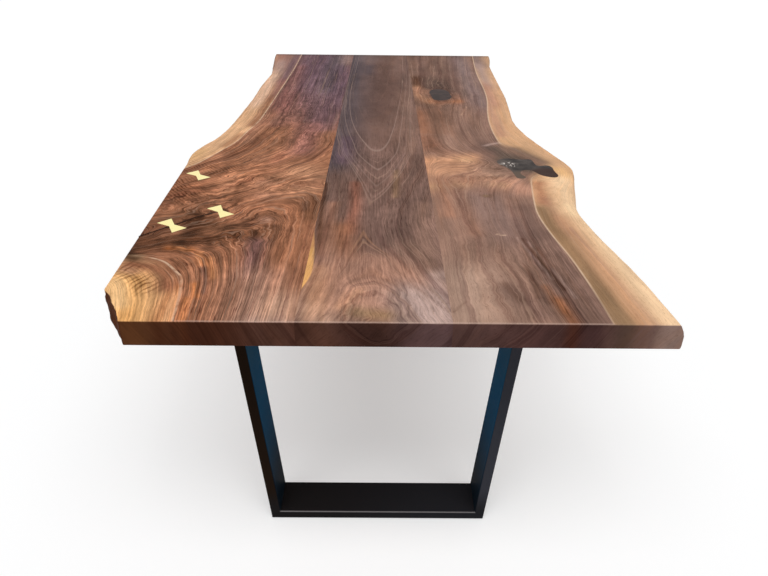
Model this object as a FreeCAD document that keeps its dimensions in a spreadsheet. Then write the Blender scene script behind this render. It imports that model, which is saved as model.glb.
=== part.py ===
import FreeCAD, Part

import os

import Sketcher

# Live edge dining table: a top glued up from two natural edge slabs and a straight board,
# with brass bow tie keys and resin filled knots, on two trapezoid frames of steel tube.
# Millimetres. Origin on the floor under the middle, X across, Y along the table, Z up.

SIZES = {
    "table_height": (762.0, "floor to top face"),
    "top_length": (2540.0, "end to end"),
    "top_half_width": (557.5, "middle line to the widest top edge"),
    "top_thickness": (50.8, "two inch boards"),
    "left_seam": (146.5, "middle line to the left glue line"),
    "right_seam": (129.5, "middle line to the right glue line"),
    "end_chamfer": (1.6, "eased arris along the sawn ends"),
    "edge_bulge": (10.5, "how far the natural edge swells past the top face"),
    "glue_gap": (0.1, "clearance round a glued or screwed in piece"),
    "tenon_length": (50.0, "across the seam"),
    "tenon_width": (24.0, "along the seam"),
    "tenon_thickness": (10.0, "through the board"),
    "tenon_setback": (270.0, "end of the top to the first tenon"),
    "key_length": (70.0, "tip to tip"),
    "key_end": (36.0, "across the wide ends"),
    "key_waist": (13.0, "across the waist"),
    "key_thickness": (6.0, "depth of the brass"),
    "crack_width": (4.0, "widest opening of the check"),
    "crack_depth": (25.0, "depth of the filled check"),
    "knot_depth": (30.0, "depth of the filled knots"),
    "leg_setback": (216.0, "end of the top to the face of the leg"),
    "leg_top_half": (328.0, "middle line to the outside of an upright at the top"),
    "leg_foot_half": (278.0, "middle line to the outside of an upright at the foot"),
    "tube_depth": (101.6, "four inch side of the tube"),
    "tube_thickness": (25.4, "one inch side of the tube"),
    "tube_wall": (3.05, "eleven gauge wall"),
    "tube_corner": (4.0, "outside corner radius of the tube"),
    "plate_thickness": (6.35, "quarter inch mounting plate"),
    "plate_corner": (6.0, "corner radius of the plate"),
    "glide_length": (80.0, "along the table"),
    "glide_width": (50.0, "across the table"),
    "glide_thickness": (2.0, "pad under the foot bar"),
    "glide_place": (215.0, "middle line to the middle of a pad"),
    "channel_length": (762.0, "across the table"),
    "channel_width": (38.1, "over the flanges"),
    "channel_height": (12.7, "over the web and flange"),
    "channel_gauge": (3.2, "sheet thickness"),
    "channel_pitch": (610.0, "middle to middle along the table"),
    "channel_gap": (0.6, "room for the wood to move"),
    "insert_radius": (6.35, "outside of a threaded insert"),
    "insert_length": (18.0, "depth of an insert"),
    "shank_radius": (4.0, "bolt shank"),
    "head_radius": (7.5, "corner of the hexagon head"),
    "head_height": (5.3, "hexagon head"),
    "washer_radius": (9.5, "outside of a washer"),
    "washer_thickness": (1.6, "washer"),
    "hole_radius": (4.5, "half the width of a bolt slot"),
    "slot_length": (20.0, "end to end of a bolt slot"),
    "grip_length": (17.0, "bolt length inside an insert"),
    "leg_bolt_spread": (460.0, "first to last bolt across a leg plate"),
    "leg_bolt_rows": (60.0, "row to row on a leg plate"),
    "channel_bolt_spread": (540.0, "first to last bolt along a channel"),
    "overrun": (5.0, "how far a cut runs past the wood"),
    "arc_tolerance": (1.5, "how near the arcs of a knot's outline keep to its curve"),
}

TENON_COUNT = 7
LEG_BOLT_COUNT = 3
LEG_ROW_COUNT = 2
CHANNEL_BOLT_COUNT = 4
CHANNEL_COUNT = 3
SIDEWAYS, LENGTHWAYS = (1, 0, 0), (0, 1, 0)

# Small round things repeat many times, so they are drawn with a few flat sides.
HEAD_SIDE_COUNT = 6
ROUND_SIDE_COUNT = 8
CORNER_SHARE = 0.586

# Natural edge of the left slab, near end to far end: shares of the half width and half
# length, and how much of the bulge the edge has there. The saw cut is straight and square.
BARK_CORNER_TOP_SHARES = [
    (0.810, -1.000),
    (0.835, -0.974),
    (0.857, -0.961),
    (0.883, -0.939),
    (0.910, -0.921),
    (0.925, -0.916),
]
BARK_CORNER_FOOT_SHARES = [
    (0.816, -1.000),
    (0.849, -0.979),
    (0.874, -0.965),
    (0.902, -0.950),
    (0.921, -0.936),
    (0.925, -0.916),
]
LEFT_EDGE_SHARES = [
    (0.989, -0.357, 0.0),
    (0.998, -0.323, 0.7),
    (1.000, -0.276, 1.0),
    (0.977, -0.226, 1.0),
    (0.943, -0.176, 1.0),
    (0.923, -0.125, 1.0),
    (0.908, -0.047, 1.0),
    (0.900, 0.114, 1.0),
    (0.897, 0.258, 0.9),
    (0.905, 0.424, 0.9),
    (0.897, 0.616, 0.8),
    (0.917, 0.723, 1.0),
    (0.948, 0.839, 1.0),
    (0.988, 1.000, 1.0),
]
RIGHT_EDGE_SHARES = [
    (0.943, -1.000, 0.9),
    (0.936, -0.954, 1.0),
    (0.915, -0.847, 1.0),
    (0.879, -0.740, 1.0),
    (0.857, -0.639, 1.0),
    (0.862, -0.581, 1.0),
    (0.895, -0.519, 0.9),
    (0.932, -0.450, 0.8),
    (0.953, -0.413, 0.8),
    (0.971, -0.375, 0.9),
    (0.964, -0.335, 1.0),
    (0.941, -0.292, 1.0),
    (0.893, -0.202, 1.0),
    (0.849, -0.101, 1.0),
    (0.830, 0.013, 0.9),
    (0.855, 0.143, 0.9),
    (0.885, 0.289, 0.9),
    (0.903, 0.457, 0.8),
    (0.923, 0.653, 0.8),
    (0.935, 0.762, 0.9),
    (0.957, 0.882, 1.0),
    (1.000, 1.000, 1.0),
]

# The edge swells from the top face to a round belly: depth and bulge at each level.
LEVEL_SHARES = [(0.0, 0.0), (0.2, 0.58), (0.45, 1.0), (0.75, 1.16), (1.0, 1.0)]

# Bow tie keys: shares of the half width and half length, and the angle of the long axis.
KEY_PLACE_SHARES = {
    "bow_tie_rear": (-0.888, -0.432, -48.7),
    "bow_tie_middle": (-0.682, -0.624, -51.6),
    "bow_tie_front": (-0.847, -0.689, -46.1),
}

# Middle line of the check, from the saw cut inwards, with its width at each point.
CRACK_SHARES = [
    (-0.928, -0.727, 0.7),
    (-0.888, -0.709, 0.8),
    (-0.852, -0.694, 0.9),
    (-0.809, -0.672, 0.8),
    (-0.771, -0.651, 0.9),
    (-0.719, -0.635, 1.0),
    (-0.669, -0.617, 0.6),
    (-0.628, -0.583, 0.15),
]
NEAR_KNOT_SHARES = [
    (0.617, -0.317),
    (0.682, -0.303),
    (0.750, -0.309),
    (0.785, -0.307),
    (0.814, -0.352),
    (0.854, -0.349),
    (0.877, -0.387),
    (0.868, -0.424),
    (0.798, -0.413),
    (0.750, -0.378),
    (0.697, -0.400),
    (0.710, -0.431),
    (0.692, -0.435),
    (0.662, -0.391),
    (0.624, -0.350),
]
FAR_KNOT_SHARES = [
    (0.364, 0.374),
    (0.425, 0.395),
    (0.475, 0.383),
    (0.497, 0.343),
    (0.499, 0.290),
    (0.479, 0.261),
    (0.432, 0.245),
    (0.386, 0.247),
    (0.361, 0.283),
    (0.353, 0.328),
]

os.makedirs("parts", exist_ok=True)
document = FreeCAD.newDocument("LiveEdgeTable")
sheet = document.addObject("Spreadsheet::Sheet", "Sizes")
for row, (name, (value, meaning)) in enumerate(SIZES.items(), start=1):
    sheet.set(f"A{row}", name)
    sheet.set(f"B{row}", str(value))
    sheet.set(f"C{row}", meaning)
    sheet.setAlias(f"B{row}", name)
document.recompute()

sub_parts = []


def size(name):
    """The number in the sheet's cell of that name."""
    return float(sheet.get(name))


def finished(thing, label):
    """Give a sub-part its label and list it for writing."""
    thing.Label = label
    sub_parts.append(thing)
    return thing


# Places that several pieces share, as expressions on the sheet.
UNDERSIDE = "(Sizes.table_height - Sizes.top_thickness)"
PLATE_FACE = f"({UNDERSIDE} - Sizes.plate_thickness)"
LEG_MIDDLE = "(-Sizes.top_length / 2 + Sizes.leg_setback + Sizes.tube_depth / 2)"
UPRIGHT_RISE = f"({PLATE_FACE} - Sizes.glide_thickness)"
LEAN = f"atan((Sizes.leg_top_half - Sizes.leg_foot_half) / {UPRIGHT_RISE})"
MITRE = f"(Sizes.tube_thickness / tan(45 deg + {LEAN} / 2))"
LEG_GRID_X = "(-Sizes.leg_bolt_spread / 2)"
LEG_GRID_Y = f"({LEG_MIDDLE} - Sizes.leg_bolt_rows / 2)"
CHANNEL_GRID_X = "(-Sizes.channel_bolt_spread / 2)"
CHANNEL_GRID_Y = "(-Sizes.channel_pitch)"


def reference(body, role):
    """One of a body's own origin planes or axes."""
    return next(item for item in body.Origin.OriginFeatures if item.Role == role)


def new_body(name, across="0", along="0", up="0", turn="0"):
    """A body whose place is bound to the sheet; turn is about the upright axis."""
    body = document.addObject("PartDesign::Body", name)
    body.AllowCompound = True
    place = f"placement(vector({across}; {along}; {up}); rotation({turn}; 0; 0))"
    body.setExpression("Placement", place)
    return body


def new_sketch(body, role, name):
    """An empty sketch on one of the body's origin planes."""
    sketch = body.newObject("Sketcher::SketchObject", name)
    sketch.AttachmentSupport = (reference(body, role), [""])
    sketch.MapMode = "FlatFace"
    return sketch


def bind_point(sketch, edge, end, across, up):
    """Hold a sketch point at two expressions, measured from the sketch's origin."""
    vertical_axis, horizontal_axis = -2, -1
    for kind, value, axis in (
        ("DistanceX", across, vertical_axis),
        ("DistanceY", up, horizontal_axis),
    ):
        if value == "0":
            sketch.addConstraint(Sketcher.Constraint("PointOnObject", edge, end, axis))
        else:
            unit = 1.0
            index = sketch.addConstraint(Sketcher.Constraint(kind, -1, 1, edge, end, unit))
            sketch.setExpression(f"Constraints[{index}]", value)


def outline_sketch(body, role, name, *outlines):
    """A sketch of closed outlines with straight sides, each corner a pair of expressions."""
    sketch = new_sketch(body, role, name)
    circle = Part.Circle()
    for corners in outlines:
        count = len(corners)
        starts = [circle.value(circle.LastParameter * step / count) for step in range(count)]
        sides = [Part.LineSegment(starts[k], starts[(k + 1) % count]) for k in range(count)]
        first = sketch.addGeometry(sides, False)[0]
        for k in range(count):
            joined = Sketcher.Constraint("Coincident", first + k, 2, first + (k + 1) % count, 1)
            sketch.addConstraint(joined)
        for k, (across, up) in enumerate(corners):
            bind_point(sketch, first + k, 1, across, up)
    return sketch


def rectangle(left, right, low, high):
    """The corners of a rectangle between four expressions."""
    return [(left, low), (right, low), (right, high), (left, high)]


def polygon(sides, radius):
    """The corners of a regular polygon, turned a quarter step off the axes."""
    full_turn = 360
    step = full_turn / sides
    angles = [step * (k + 1 / 4) for k in range(sides)]
    return [(f"({radius}) * cos({a} deg)", f"({radius}) * sin({a} deg)") for a in angles]


def slot(length, width):
    """The corners of a slot whose ends are half octagons, its long way sideways."""
    tip, shoulder = f"({length}) / 2", f"(({length}) / 2 - ({width}) / 2 * {CORNER_SHARE})"
    side, cheek = f"({width}) / 2", f"(({width}) / 2 * (1 - {CORNER_SHARE}))"
    return [
        (tip, f"-{cheek}"),
        (tip, cheek),
        (shoulder, side),
        (f"-{shoulder}", side),
        (f"-{tip}", cheek),
        (f"-{tip}", f"-{cheek}"),
        (f"-{shoulder}", f"-{side}"),
        (shoulder, f"-{side}"),
    ]


def pad(body, sketch, length, both_ways=False):
    """Push a sketch out into a solid."""
    feature = body.newObject("PartDesign::Pad", "Pad")
    feature.Profile = sketch
    feature.setExpression("Length", length)
    if both_ways:
        feature.SideType = "Symmetric"
    document.recompute()
    return feature


def pocket(body, sketch, both_ways=False, upwards=False):
    """Cut a sketch right through the body."""
    before = body.Shape.Volume
    feature = body.newObject("PartDesign::Pocket", "Pocket")
    feature.Profile = sketch
    feature.Type = "ThroughAll"
    feature.Reversed = upwards
    if both_ways:
        feature.SideType = "Symmetric"
    document.recompute()
    if not body.Shape.Volume < before:
        raise RuntimeError(f"{body.Name}: a pocket cuts nothing")
    return feature


PARALLEL_SHARE = 0.999


def round_long_edges(body, feature, direction, radius):
    """Round every straight edge of the body that runs along the direction."""
    names = []
    for number, edge in enumerate(feature.Shape.Edges, start=1):
        run = edge.tangentAt(edge.FirstParameter)
        if abs(run.dot(direction)) > PARALLEL_SHARE:
            names.append(f"Edge{number}")
    rounding = body.newObject("PartDesign::Fillet", "Rounding")
    rounding.Base = (feature, names)
    rounding.setExpression("Radius", radius)
    document.recompute()
    return rounding


def row_of(body, axis, length, count):
    """A row of copies along one of the body's axes."""
    row = body.newObject("PartDesign::LinearPattern", "Row")
    row.Direction = (reference(body, axis), [""])
    row.setExpression("Length", length)
    row.Occurrences = count
    return row


def repeat_grid(body, originals, across_length, across_count, along_length, along_count):
    """Copies in rows across and along the table, starting at the body's own origin."""
    grid = body.newObject("PartDesign::MultiTransform", "Grid")
    rows = []
    if across_count > 1:
        rows.append(row_of(body, "X_Axis", across_length, across_count))
    if along_count > 1:
        rows.append(row_of(body, "Y_Axis", along_length, along_count))
    grid.Originals = originals
    grid.Transformations = rows
    body.Tip = grid
    document.recompute()
    return grid


def leg_grid(body, originals):
    """Repeat over the bolt places of one leg plate."""
    return repeat_grid(
        body,
        originals,
        "Sizes.leg_bolt_spread",
        LEG_BOLT_COUNT,
        "Sizes.leg_bolt_rows",
        LEG_ROW_COUNT,
    )


def channel_grid(body, originals):
    """Repeat over the bolt places of all the channels."""
    return repeat_grid(
        body,
        originals,
        "Sizes.channel_bolt_spread",
        CHANNEL_BOLT_COUNT,
        f"Sizes.channel_pitch * {CHANNEL_COUNT - 1}",
        CHANNEL_COUNT,
    )


def mirrored(source, name, normal):
    """The mirror image of a piece about a plane through the origin."""
    image = document.addObject("Part::Mirroring", name)
    image.Source = source
    image.Normal = normal
    document.recompute()
    return image


def cut(name, base, *tools):
    """Take the tools away from the base."""
    joined = document.addObject("Part::MultiFuse", f"{name}_tools")
    joined.Shapes = list(tools)
    result = document.addObject("Part::Cut", name)
    result.Base = base
    result.Tool = joined
    return result


# Outlines of the slabs. Every level has the same edges in the same order, so that a loft
# through them gives one swelling natural edge, flat ends and a flat saw cut.


def level_points(shares, side, height, bulge_share):
    """Edge points of one level, in millimetres."""
    half_width = size("top_half_width")
    half_length = size("top_length") / 2
    bulge = size("edge_bulge") * bulge_share
    return [
        FreeCAD.Vector(side * (across * half_width + bulge * swell), along * half_length, height)
        for across, along, swell in shares
    ]


def corner_points(side, height, depth_share):
    """The bark corner at one level, part way from its top line to its foot line."""
    half_width = size("top_half_width")
    half_length = size("top_length") / 2
    points = []
    for upper, lower in zip(BARK_CORNER_TOP_SHARES, BARK_CORNER_FOOT_SHARES):
        across = upper[0] + (lower[0] - upper[0]) * depth_share
        along = upper[1] + (lower[1] - upper[1]) * depth_share
        points.append(FreeCAD.Vector(side * across * half_width, along * half_length, height))
    return points


def curve_through(points):
    """A smooth edge through the points."""
    spline = Part.BSplineCurve()
    spline.interpolate(points)
    return spline.toShape()


def straight(start, end):
    """A straight edge."""
    return Part.LineSegment(start, end).toShape()


def slab_level(name, side, seam, depth_share, bulge_share):
    """The closed outline of a slab at one depth below the top face."""
    half_length = size("top_length") / 2
    height = size("table_height") - size("top_thickness") * depth_share
    near_seam = FreeCAD.Vector(side * seam, -half_length, height)
    far_seam = FreeCAD.Vector(side * seam, half_length, height)
    if side < 0:
        corner = corner_points(side, height, depth_share)
        edge = level_points(LEFT_EDGE_SHARES, side, height, bulge_share)
        outer = [curve_through(corner), straight(corner[-1], edge[0]), curve_through(edge)]
        near_corner = corner[0]
    else:
        edge = level_points(RIGHT_EDGE_SHARES, side, height, bulge_share)
        outer = [curve_through(edge)]
        near_corner = edge[0]
    ends = [straight(near_seam, near_corner)] + outer + [straight(edge[-1], far_seam)]
    level = document.addObject("Part::Feature", name)
    level.Shape = Part.Wire(ends + [straight(far_seam, near_seam)])
    return level


def slab_blank(name, side, seam):
    """A natural edge slab before anything is cut into it."""
    levels = [
        slab_level(f"{name}_level_{number}", side, seam, depth_share, bulge_share)
        for number, (depth_share, bulge_share) in enumerate(LEVEL_SHARES)
    ]
    loft = document.addObject("Part::Loft", f"{name}_blank")
    loft.Sections = levels
    loft.Solid = True
    return loft


left_blank = slab_blank("left", -1, size("left_seam"))
right_blank = slab_blank("right", 1, size("right_seam"))

centre_body = new_body("centre_blank", up=UNDERSIDE)
centre_sides = rectangle(
    "-Sizes.left_seam", "Sizes.right_seam", "-Sizes.top_length / 2", "Sizes.top_length / 2"
)
centre_outline = outline_sketch(centre_body, "XY_Plane", "outline", centre_sides)
pad(centre_body, centre_outline, "Sizes.top_thickness")

# The eased arris along the top of both sawn ends is planed off all three boards.

arris_body = new_body("far_arris", along="Sizes.top_length / 2", up="Sizes.table_height")
arris_corners = [
    ("-2 * Sizes.end_chamfer", "Sizes.end_chamfer"),
    ("Sizes.end_chamfer", "-2 * Sizes.end_chamfer"),
    ("Sizes.end_chamfer", "Sizes.end_chamfer"),
]
arris_section = outline_sketch(arris_body, "YZ_Plane", "section", arris_corners)
pad(arris_body, arris_section, "3 * Sizes.top_half_width", both_ways=True)
arrises = [arris_body, mirrored(arris_body, "near_arris", LENGTHWAYS)]

# Loose tenons along the two seams, and the mortises they are glued into.


def tenon_row(name, seam, gap):
    """A row of round ended tenons, or with a gap the mortises for them."""
    body = new_body(
        name,
        across=seam,
        along="-Sizes.top_length / 2 + Sizes.tenon_setback",
        up="Sizes.table_height - Sizes.top_thickness / 2",
    )
    corners = slot(f"Sizes.tenon_width + 2 * {gap}", f"Sizes.tenon_thickness + 2 * {gap}")
    section = outline_sketch(body, "YZ_Plane", "section", corners)
    tenon = pad(body, section, f"Sizes.tenon_length + 2 * {gap}", both_ways=True)
    run = "Sizes.top_length - 2 * Sizes.tenon_setback"
    repeat_grid(body, [tenon], "0", 1, run, TENON_COUNT)
    return body


finished(tenon_row("left_tenons", "-Sizes.left_seam", "0"), "left_seam_tenons")
finished(tenon_row("right_tenons", "Sizes.right_seam", "0"), "right_seam_tenons")
left_mortises = tenon_row("left_mortises", "-Sizes.left_seam", "Sizes.glue_gap")
right_mortises = tenon_row("right_mortises", "Sizes.right_seam", "Sizes.glue_gap")

# Brass bow tie keys, flush with the top face, each in a recess of its own shape.


def bow_tie(name, across_share, along_share, angle, gap, run_out):
    """A straight sided key with a narrow waist, or with a gap and a run out its recess."""
    body = new_body(
        name,
        across=f"{across_share} * Sizes.top_half_width",
        along=f"{along_share} * Sizes.top_length / 2",
        up=f"Sizes.table_height - Sizes.key_thickness - {gap}",
        turn=f"{angle} deg",
    )
    tip, end = f"(Sizes.key_length / 2 + {gap})", f"(Sizes.key_end / 2 + {gap})"
    waist = f"(Sizes.key_waist / 2 + {gap})"
    corners = [
        (f"-{tip}", f"-{end}"),
        ("0", f"-{waist}"),
        (tip, f"-{end}"),
        (tip, end),
        ("0", waist),
        (f"-{tip}", end),
    ]
    depth = f"Sizes.key_thickness + {gap} + {run_out}"
    pad(body, outline_sketch(body, "XY_Plane", "outline", corners), depth)
    return body


recesses = []
for key_name, key_place in KEY_PLACE_SHARES.items():
    finished(bow_tie(f"{key_name}_key", *key_place, "0", "0"), key_name)
    recess_name = f"{key_name}_recess"
    recesses.append(bow_tie(recess_name, *key_place, "Sizes.glue_gap", "Sizes.overrun"))

# Filled knots and the filled check.


def sunk(name, outline, depth, run_out="0"):
    """A prism of that outline down from the top face; a run out lifts it past the face."""
    face = document.addObject("Part::Feature", f"{name}_outline")
    face.Shape = Part.Face(Part.Wire(outline))
    prism = document.addObject("Part::Extrusion", name)
    prism.Base = face
    prism.Dir = (0, 0, -1)
    prism.Solid = True
    prism.setExpression("LengthFwd", depth)
    prism.setExpression("LengthRev", run_out)
    document.recompute()
    return prism


def knot_outline(shares):
    """A closed smooth outline on the top face."""
    half_width = size("top_half_width")
    half_length = size("top_length") / 2
    height = size("table_height")
    points = [FreeCAD.Vector(a * half_width, b * half_length, height) for a, b in shares]
    spline = Part.BSplineCurve()
    spline.interpolate(Points=points, PeriodicFlag=True)
    return [arc.toShape() for arc in spline.toBiArcs(size("arc_tolerance"))]


def crack_outline(run_out):
    """A long thin outline either side of the check's middle line, run out past the saw cut."""
    half_width = size("top_half_width")
    half_length = size("top_length") / 2
    height = size("table_height")
    middle = [FreeCAD.Vector(a * half_width, b * half_length, height) for a, b, _ in CRACK_SHARES]
    upright = FreeCAD.Vector(0, 0, 1)
    one_side, other_side = [], []
    before, after = middle[:1] + middle[:-1], middle[1:] + middle[-1:]
    for k, point in enumerate(middle):
        run = after[k] - before[k]
        away = upright.cross(run).normalize() * (size("crack_width") * CRACK_SHARES[k][2] / 2)
        one_side.append(point + away)
        other_side.append(point - away)
    saw_start = corner_points(-1, height, 0)[-1]
    saw_run = (level_points(LEFT_EDGE_SHARES, -1, height, 0)[0] - saw_start).normalize()
    square = upright.cross(saw_run)
    for side in (one_side, other_side):
        outward = (side[0] - side[1]).normalize()
        reach = (saw_start - side[0]).dot(square) / outward.dot(square)
        side.insert(0, side[0] + outward * (reach + run_out))
    corners = one_side + other_side[::-1]
    return [straight(corners[k - 1], corners[k]) for k in range(len(corners))]


knot_holes = []
for knot_name, knot_shares in (("near_knot", NEAR_KNOT_SHARES), ("far_knot", FAR_KNOT_SHARES)):
    finished(sunk(knot_name, knot_outline(knot_shares), "Sizes.knot_depth"), f"{knot_name}_fill")
    knot_holes.append(
        sunk(
            f"{knot_name}_hole", knot_outline(knot_shares), "Sizes.knot_depth", "Sizes.overrun"
        )
    )
crack_groove = sunk(
    "crack_groove", crack_outline(size("overrun")), "Sizes.crack_depth", "Sizes.overrun"
)
crack_resin = sunk("crack_resin", crack_outline(0), "Sizes.crack_depth")
finished(cut("crack_filling", crack_resin, *recesses), "crack_fill")

# Steel channels let into the underside, their flanges up in two grooves.


def channel_section(body, gap):
    """A channel on its back; with a gap it is the groove that the channel drops into."""
    half, top = f"(Sizes.channel_width / 2 + {gap})", f"(Sizes.channel_height + {gap})"
    inside = f"(Sizes.channel_width / 2 - Sizes.channel_gauge - {gap})"
    web, bottom = "Sizes.channel_gauge", "0" if gap == "0" else "-Sizes.overrun"
    corners = [
        (f"-{half}", bottom),
        (half, bottom),
        (half, top),
        (inside, top),
        (inside, web),
        (f"-{inside}", web),
        (f"-{inside}", top),
        (f"-{half}", top),
    ]
    return outline_sketch(body, "YZ_Plane", "section", corners)


def channel(name, along):
    """A channel with a row of slotted bolt holes."""
    body = new_body(name, along=along, up=UNDERSIDE)
    pad(body, channel_section(body, "0"), "Sizes.channel_length", both_ways=True)
    hole_corners = slot("Sizes.slot_length", "2 * Sizes.hole_radius")
    hole_sketch = outline_sketch(body, "XY_Plane", "hole", hole_corners)
    hole_sketch.setExpression("AttachmentOffset.Base.x", CHANNEL_GRID_X)
    hole = pocket(body, hole_sketch, upwards=True)
    repeat_grid(body, [hole], "Sizes.channel_bolt_spread", CHANNEL_BOLT_COUNT, "0", 1)
    return finished(body, name)


grooves = []
CHANNEL_PLACES = {
    "front_channel": "-Sizes.channel_pitch",
    "middle_channel": "0",
    "rear_channel": "Sizes.channel_pitch",
}
for channel_name, channel_place in CHANNEL_PLACES.items():
    channel(channel_name, channel_place)
    groove = new_body(f"{channel_name}_groove", along=channel_place, up=UNDERSIDE)
    groove_run = "Sizes.channel_length + 2 * Sizes.channel_gap"
    pad(groove, channel_section(groove, "Sizes.channel_gap"), groove_run, both_ways=True)
    grooves.append(groove)

# Fasteners: hexagon bolts and washers below, threaded inserts up in the wood.


def bolt_group(name, grid, place, grip):
    """Hexagon bolts, head down, their shanks up through a hole into an insert."""
    body = new_body(name, *place)
    head_sketch = outline_sketch(
        body, "XY_Plane", "head", polygon(HEAD_SIDE_COUNT, "Sizes.head_radius")
    )
    head = pad(body, head_sketch, "Sizes.head_height")
    head.Reversed = True
    shank_sketch = outline_sketch(
        body, "XY_Plane", "shank", polygon(ROUND_SIDE_COUNT, "Sizes.shank_radius")
    )
    shank = pad(body, shank_sketch, f"{grip} + Sizes.grip_length")
    grid(body, [head, shank])
    return body


def sleeve_group(name, grid, place, length, *radii):
    """Rings or plain round plugs at every bolt place, upwards from the place."""
    body = new_body(name, *place)
    outlines = [polygon(ROUND_SIDE_COUNT, radius) for radius in radii]
    ring = pad(body, outline_sketch(body, "XY_Plane", "rings", *outlines), length)
    grid(body, [ring])
    return body


WASHER_HOLE = "Sizes.hole_radius"
PLATE_WASHER_FACE = f"({PLATE_FACE} - Sizes.washer_thickness)"
CHANNEL_WASHER_FACE = f"({UNDERSIDE} - Sizes.washer_thickness)"
LEG_GRIP = "(Sizes.washer_thickness + Sizes.plate_thickness)"
CHANNEL_GRIP = "Sizes.washer_thickness"
INSERT_BORE = "Sizes.shank_radius + Sizes.glue_gap"
INSERT_HOLE = "Sizes.insert_radius + Sizes.glue_gap"
INSERT_HOLE_LENGTH = "Sizes.insert_length + Sizes.glue_gap"
leg_spot = (LEG_GRID_X, LEG_GRID_Y)
channel_spot = (CHANNEL_GRID_X, CHANNEL_GRID_Y)

front_fasteners = {
    "bolts": bolt_group("leg_bolts", leg_grid, (*leg_spot, PLATE_WASHER_FACE), LEG_GRIP),
    "washers": sleeve_group(
        "leg_washers",
        leg_grid,
        (*leg_spot, PLATE_WASHER_FACE),
        "Sizes.washer_thickness",
        "Sizes.washer_radius",
        WASHER_HOLE,
    ),
    "inserts": sleeve_group(
        "leg_inserts",
        leg_grid,
        (*leg_spot, UNDERSIDE),
        "Sizes.insert_length",
        "Sizes.insert_radius",
        INSERT_BORE,
    ),
}
channel_fasteners = {
    "bolts": bolt_group(
        "stiffener_bolts", channel_grid, (*channel_spot, CHANNEL_WASHER_FACE), CHANNEL_GRIP
    ),
    "washers": sleeve_group(
        "stiffener_washers",
        channel_grid,
        (*channel_spot, CHANNEL_WASHER_FACE),
        "Sizes.washer_thickness",
        "Sizes.washer_radius",
        WASHER_HOLE,
    ),
    "inserts": sleeve_group(
        "stiffener_inserts",
        channel_grid,
        (*channel_spot, f"{UNDERSIDE} + Sizes.channel_gauge"),
        "Sizes.insert_length",
        "Sizes.insert_radius",
        INSERT_BORE,
    ),
}
front_holes = sleeve_group(
    "leg_insert_holes", leg_grid, (*leg_spot, UNDERSIDE), INSERT_HOLE_LENGTH, INSERT_HOLE
)
rear_holes = mirrored(front_holes, "rear_insert_holes", LENGTHWAYS)
channel_holes = sleeve_group(
    "stiffener_insert_holes",
    channel_grid,
    (*channel_spot, f"{UNDERSIDE} + Sizes.channel_gauge"),
    INSERT_HOLE_LENGTH,
    INSERT_HOLE,
)

# The three boards with everything cut into them.

shared_cuts = [*arrises, *grooves, front_holes, rear_holes, channel_holes]
finished(
    cut("left_board", left_blank, left_mortises, crack_groove, *recesses, *shared_cuts),
    "left_slab",
)
finished(
    cut("centre", centre_body, left_mortises, right_mortises, *shared_cuts), "centre_board"
)
finished(
    cut("right_board", right_blank, right_mortises, *knot_holes, *shared_cuts),
    "right_slab",
)

# The front leg frame; the rear one is its mirror image.


def tube(body, section_role, sides, run, length, both_ways):
    """A rectangular steel tube with round corners, before its ends are mitred."""
    left, right, low, high = sides
    outside = outline_sketch(body, section_role, "outside", rectangle(*sides))
    round_long_edges(body, pad(body, outside, length, both_ways), run, "Sizes.tube_corner")
    wall = "Sizes.tube_wall"
    bore = rectangle(f"{left} + {wall}", f"{right} - {wall}", f"{low} + {wall}", f"{high} - {wall}")
    inside = outline_sketch(body, section_role, "inside", bore)
    return pocket(body, inside, both_ways, upwards=not both_ways)


def front_upright():
    """The right upright: it leans out, square cut under the plate and mitred at the foot."""
    body = new_body("right_upright")
    place = f"placement(vector(Sizes.leg_foot_half; {LEG_MIDDLE}; Sizes.glide_thickness);"
    body.setExpression("Placement", f"{place} rotation(0; {LEAN}; 0))")
    depth, thick = "Sizes.tube_depth / 2", "Sizes.tube_thickness"
    length = f"{UPRIGHT_RISE} / cos({LEAN}) + {thick}"
    sides = (f"-{thick}", "0", f"-{depth}", depth)
    tube(body, "XY_Plane", sides, FreeCAD.Vector(0, 0, 1), length, both_ways=False)
    past = f"2 * {thick}"
    mitre = [
        (thick, f"-{MITRE}"),
        (f"-{past}", f"2 * {MITRE}"),
        (f"-{past}", f"-{past}"),
        (thick, f"-{past}"),
    ]
    pocket(body, outline_sketch(body, "XZ_Plane", "mitre", mitre), both_ways=True)
    rise = f"{UPRIGHT_RISE} / cos({LEAN})"
    slope = f"tan({LEAN})"
    head = [
        (thick, f"{rise} + {thick} * {slope}"),
        (thick, f"{rise} + {past}"),
        (f"-{past}", f"{rise} + {past}"),
        (f"-{past}", f"{rise} - {past} * {slope}"),
    ]
    pocket(body, outline_sketch(body, "XZ_Plane", "head", head), both_ways=True)
    return finished(body, "front_right_upright")


def front_foot_bar():
    """The bar along the floor, mitred to both uprights."""
    body = new_body("foot_bar", along=LEG_MIDDLE, up="Sizes.glide_thickness")
    depth, thick, foot = "Sizes.tube_depth / 2", "Sizes.tube_thickness", "Sizes.leg_foot_half"
    sides = (f"-{depth}", depth, "0", thick)
    tube(body, "YZ_Plane", sides, FreeCAD.Vector(1, 0, 0), f"2 * {foot}", both_ways=True)
    for side, name in (("-", "left_mitre"), ("", "right_mitre")):
        mitre = [
            (f"{side}({foot} + {MITRE})", f"-{thick}"),
            (f"{side}({foot} + 3 * {thick})", f"-{thick}"),
            (f"{side}({foot} + 3 * {thick})", f"2 * {thick}"),
            (f"{side}({foot} - 2 * {MITRE})", f"2 * {thick}"),
        ]
        pocket(body, outline_sketch(body, "XZ_Plane", name, mitre), both_ways=True)
    return finished(body, "front_foot_bar")


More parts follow.
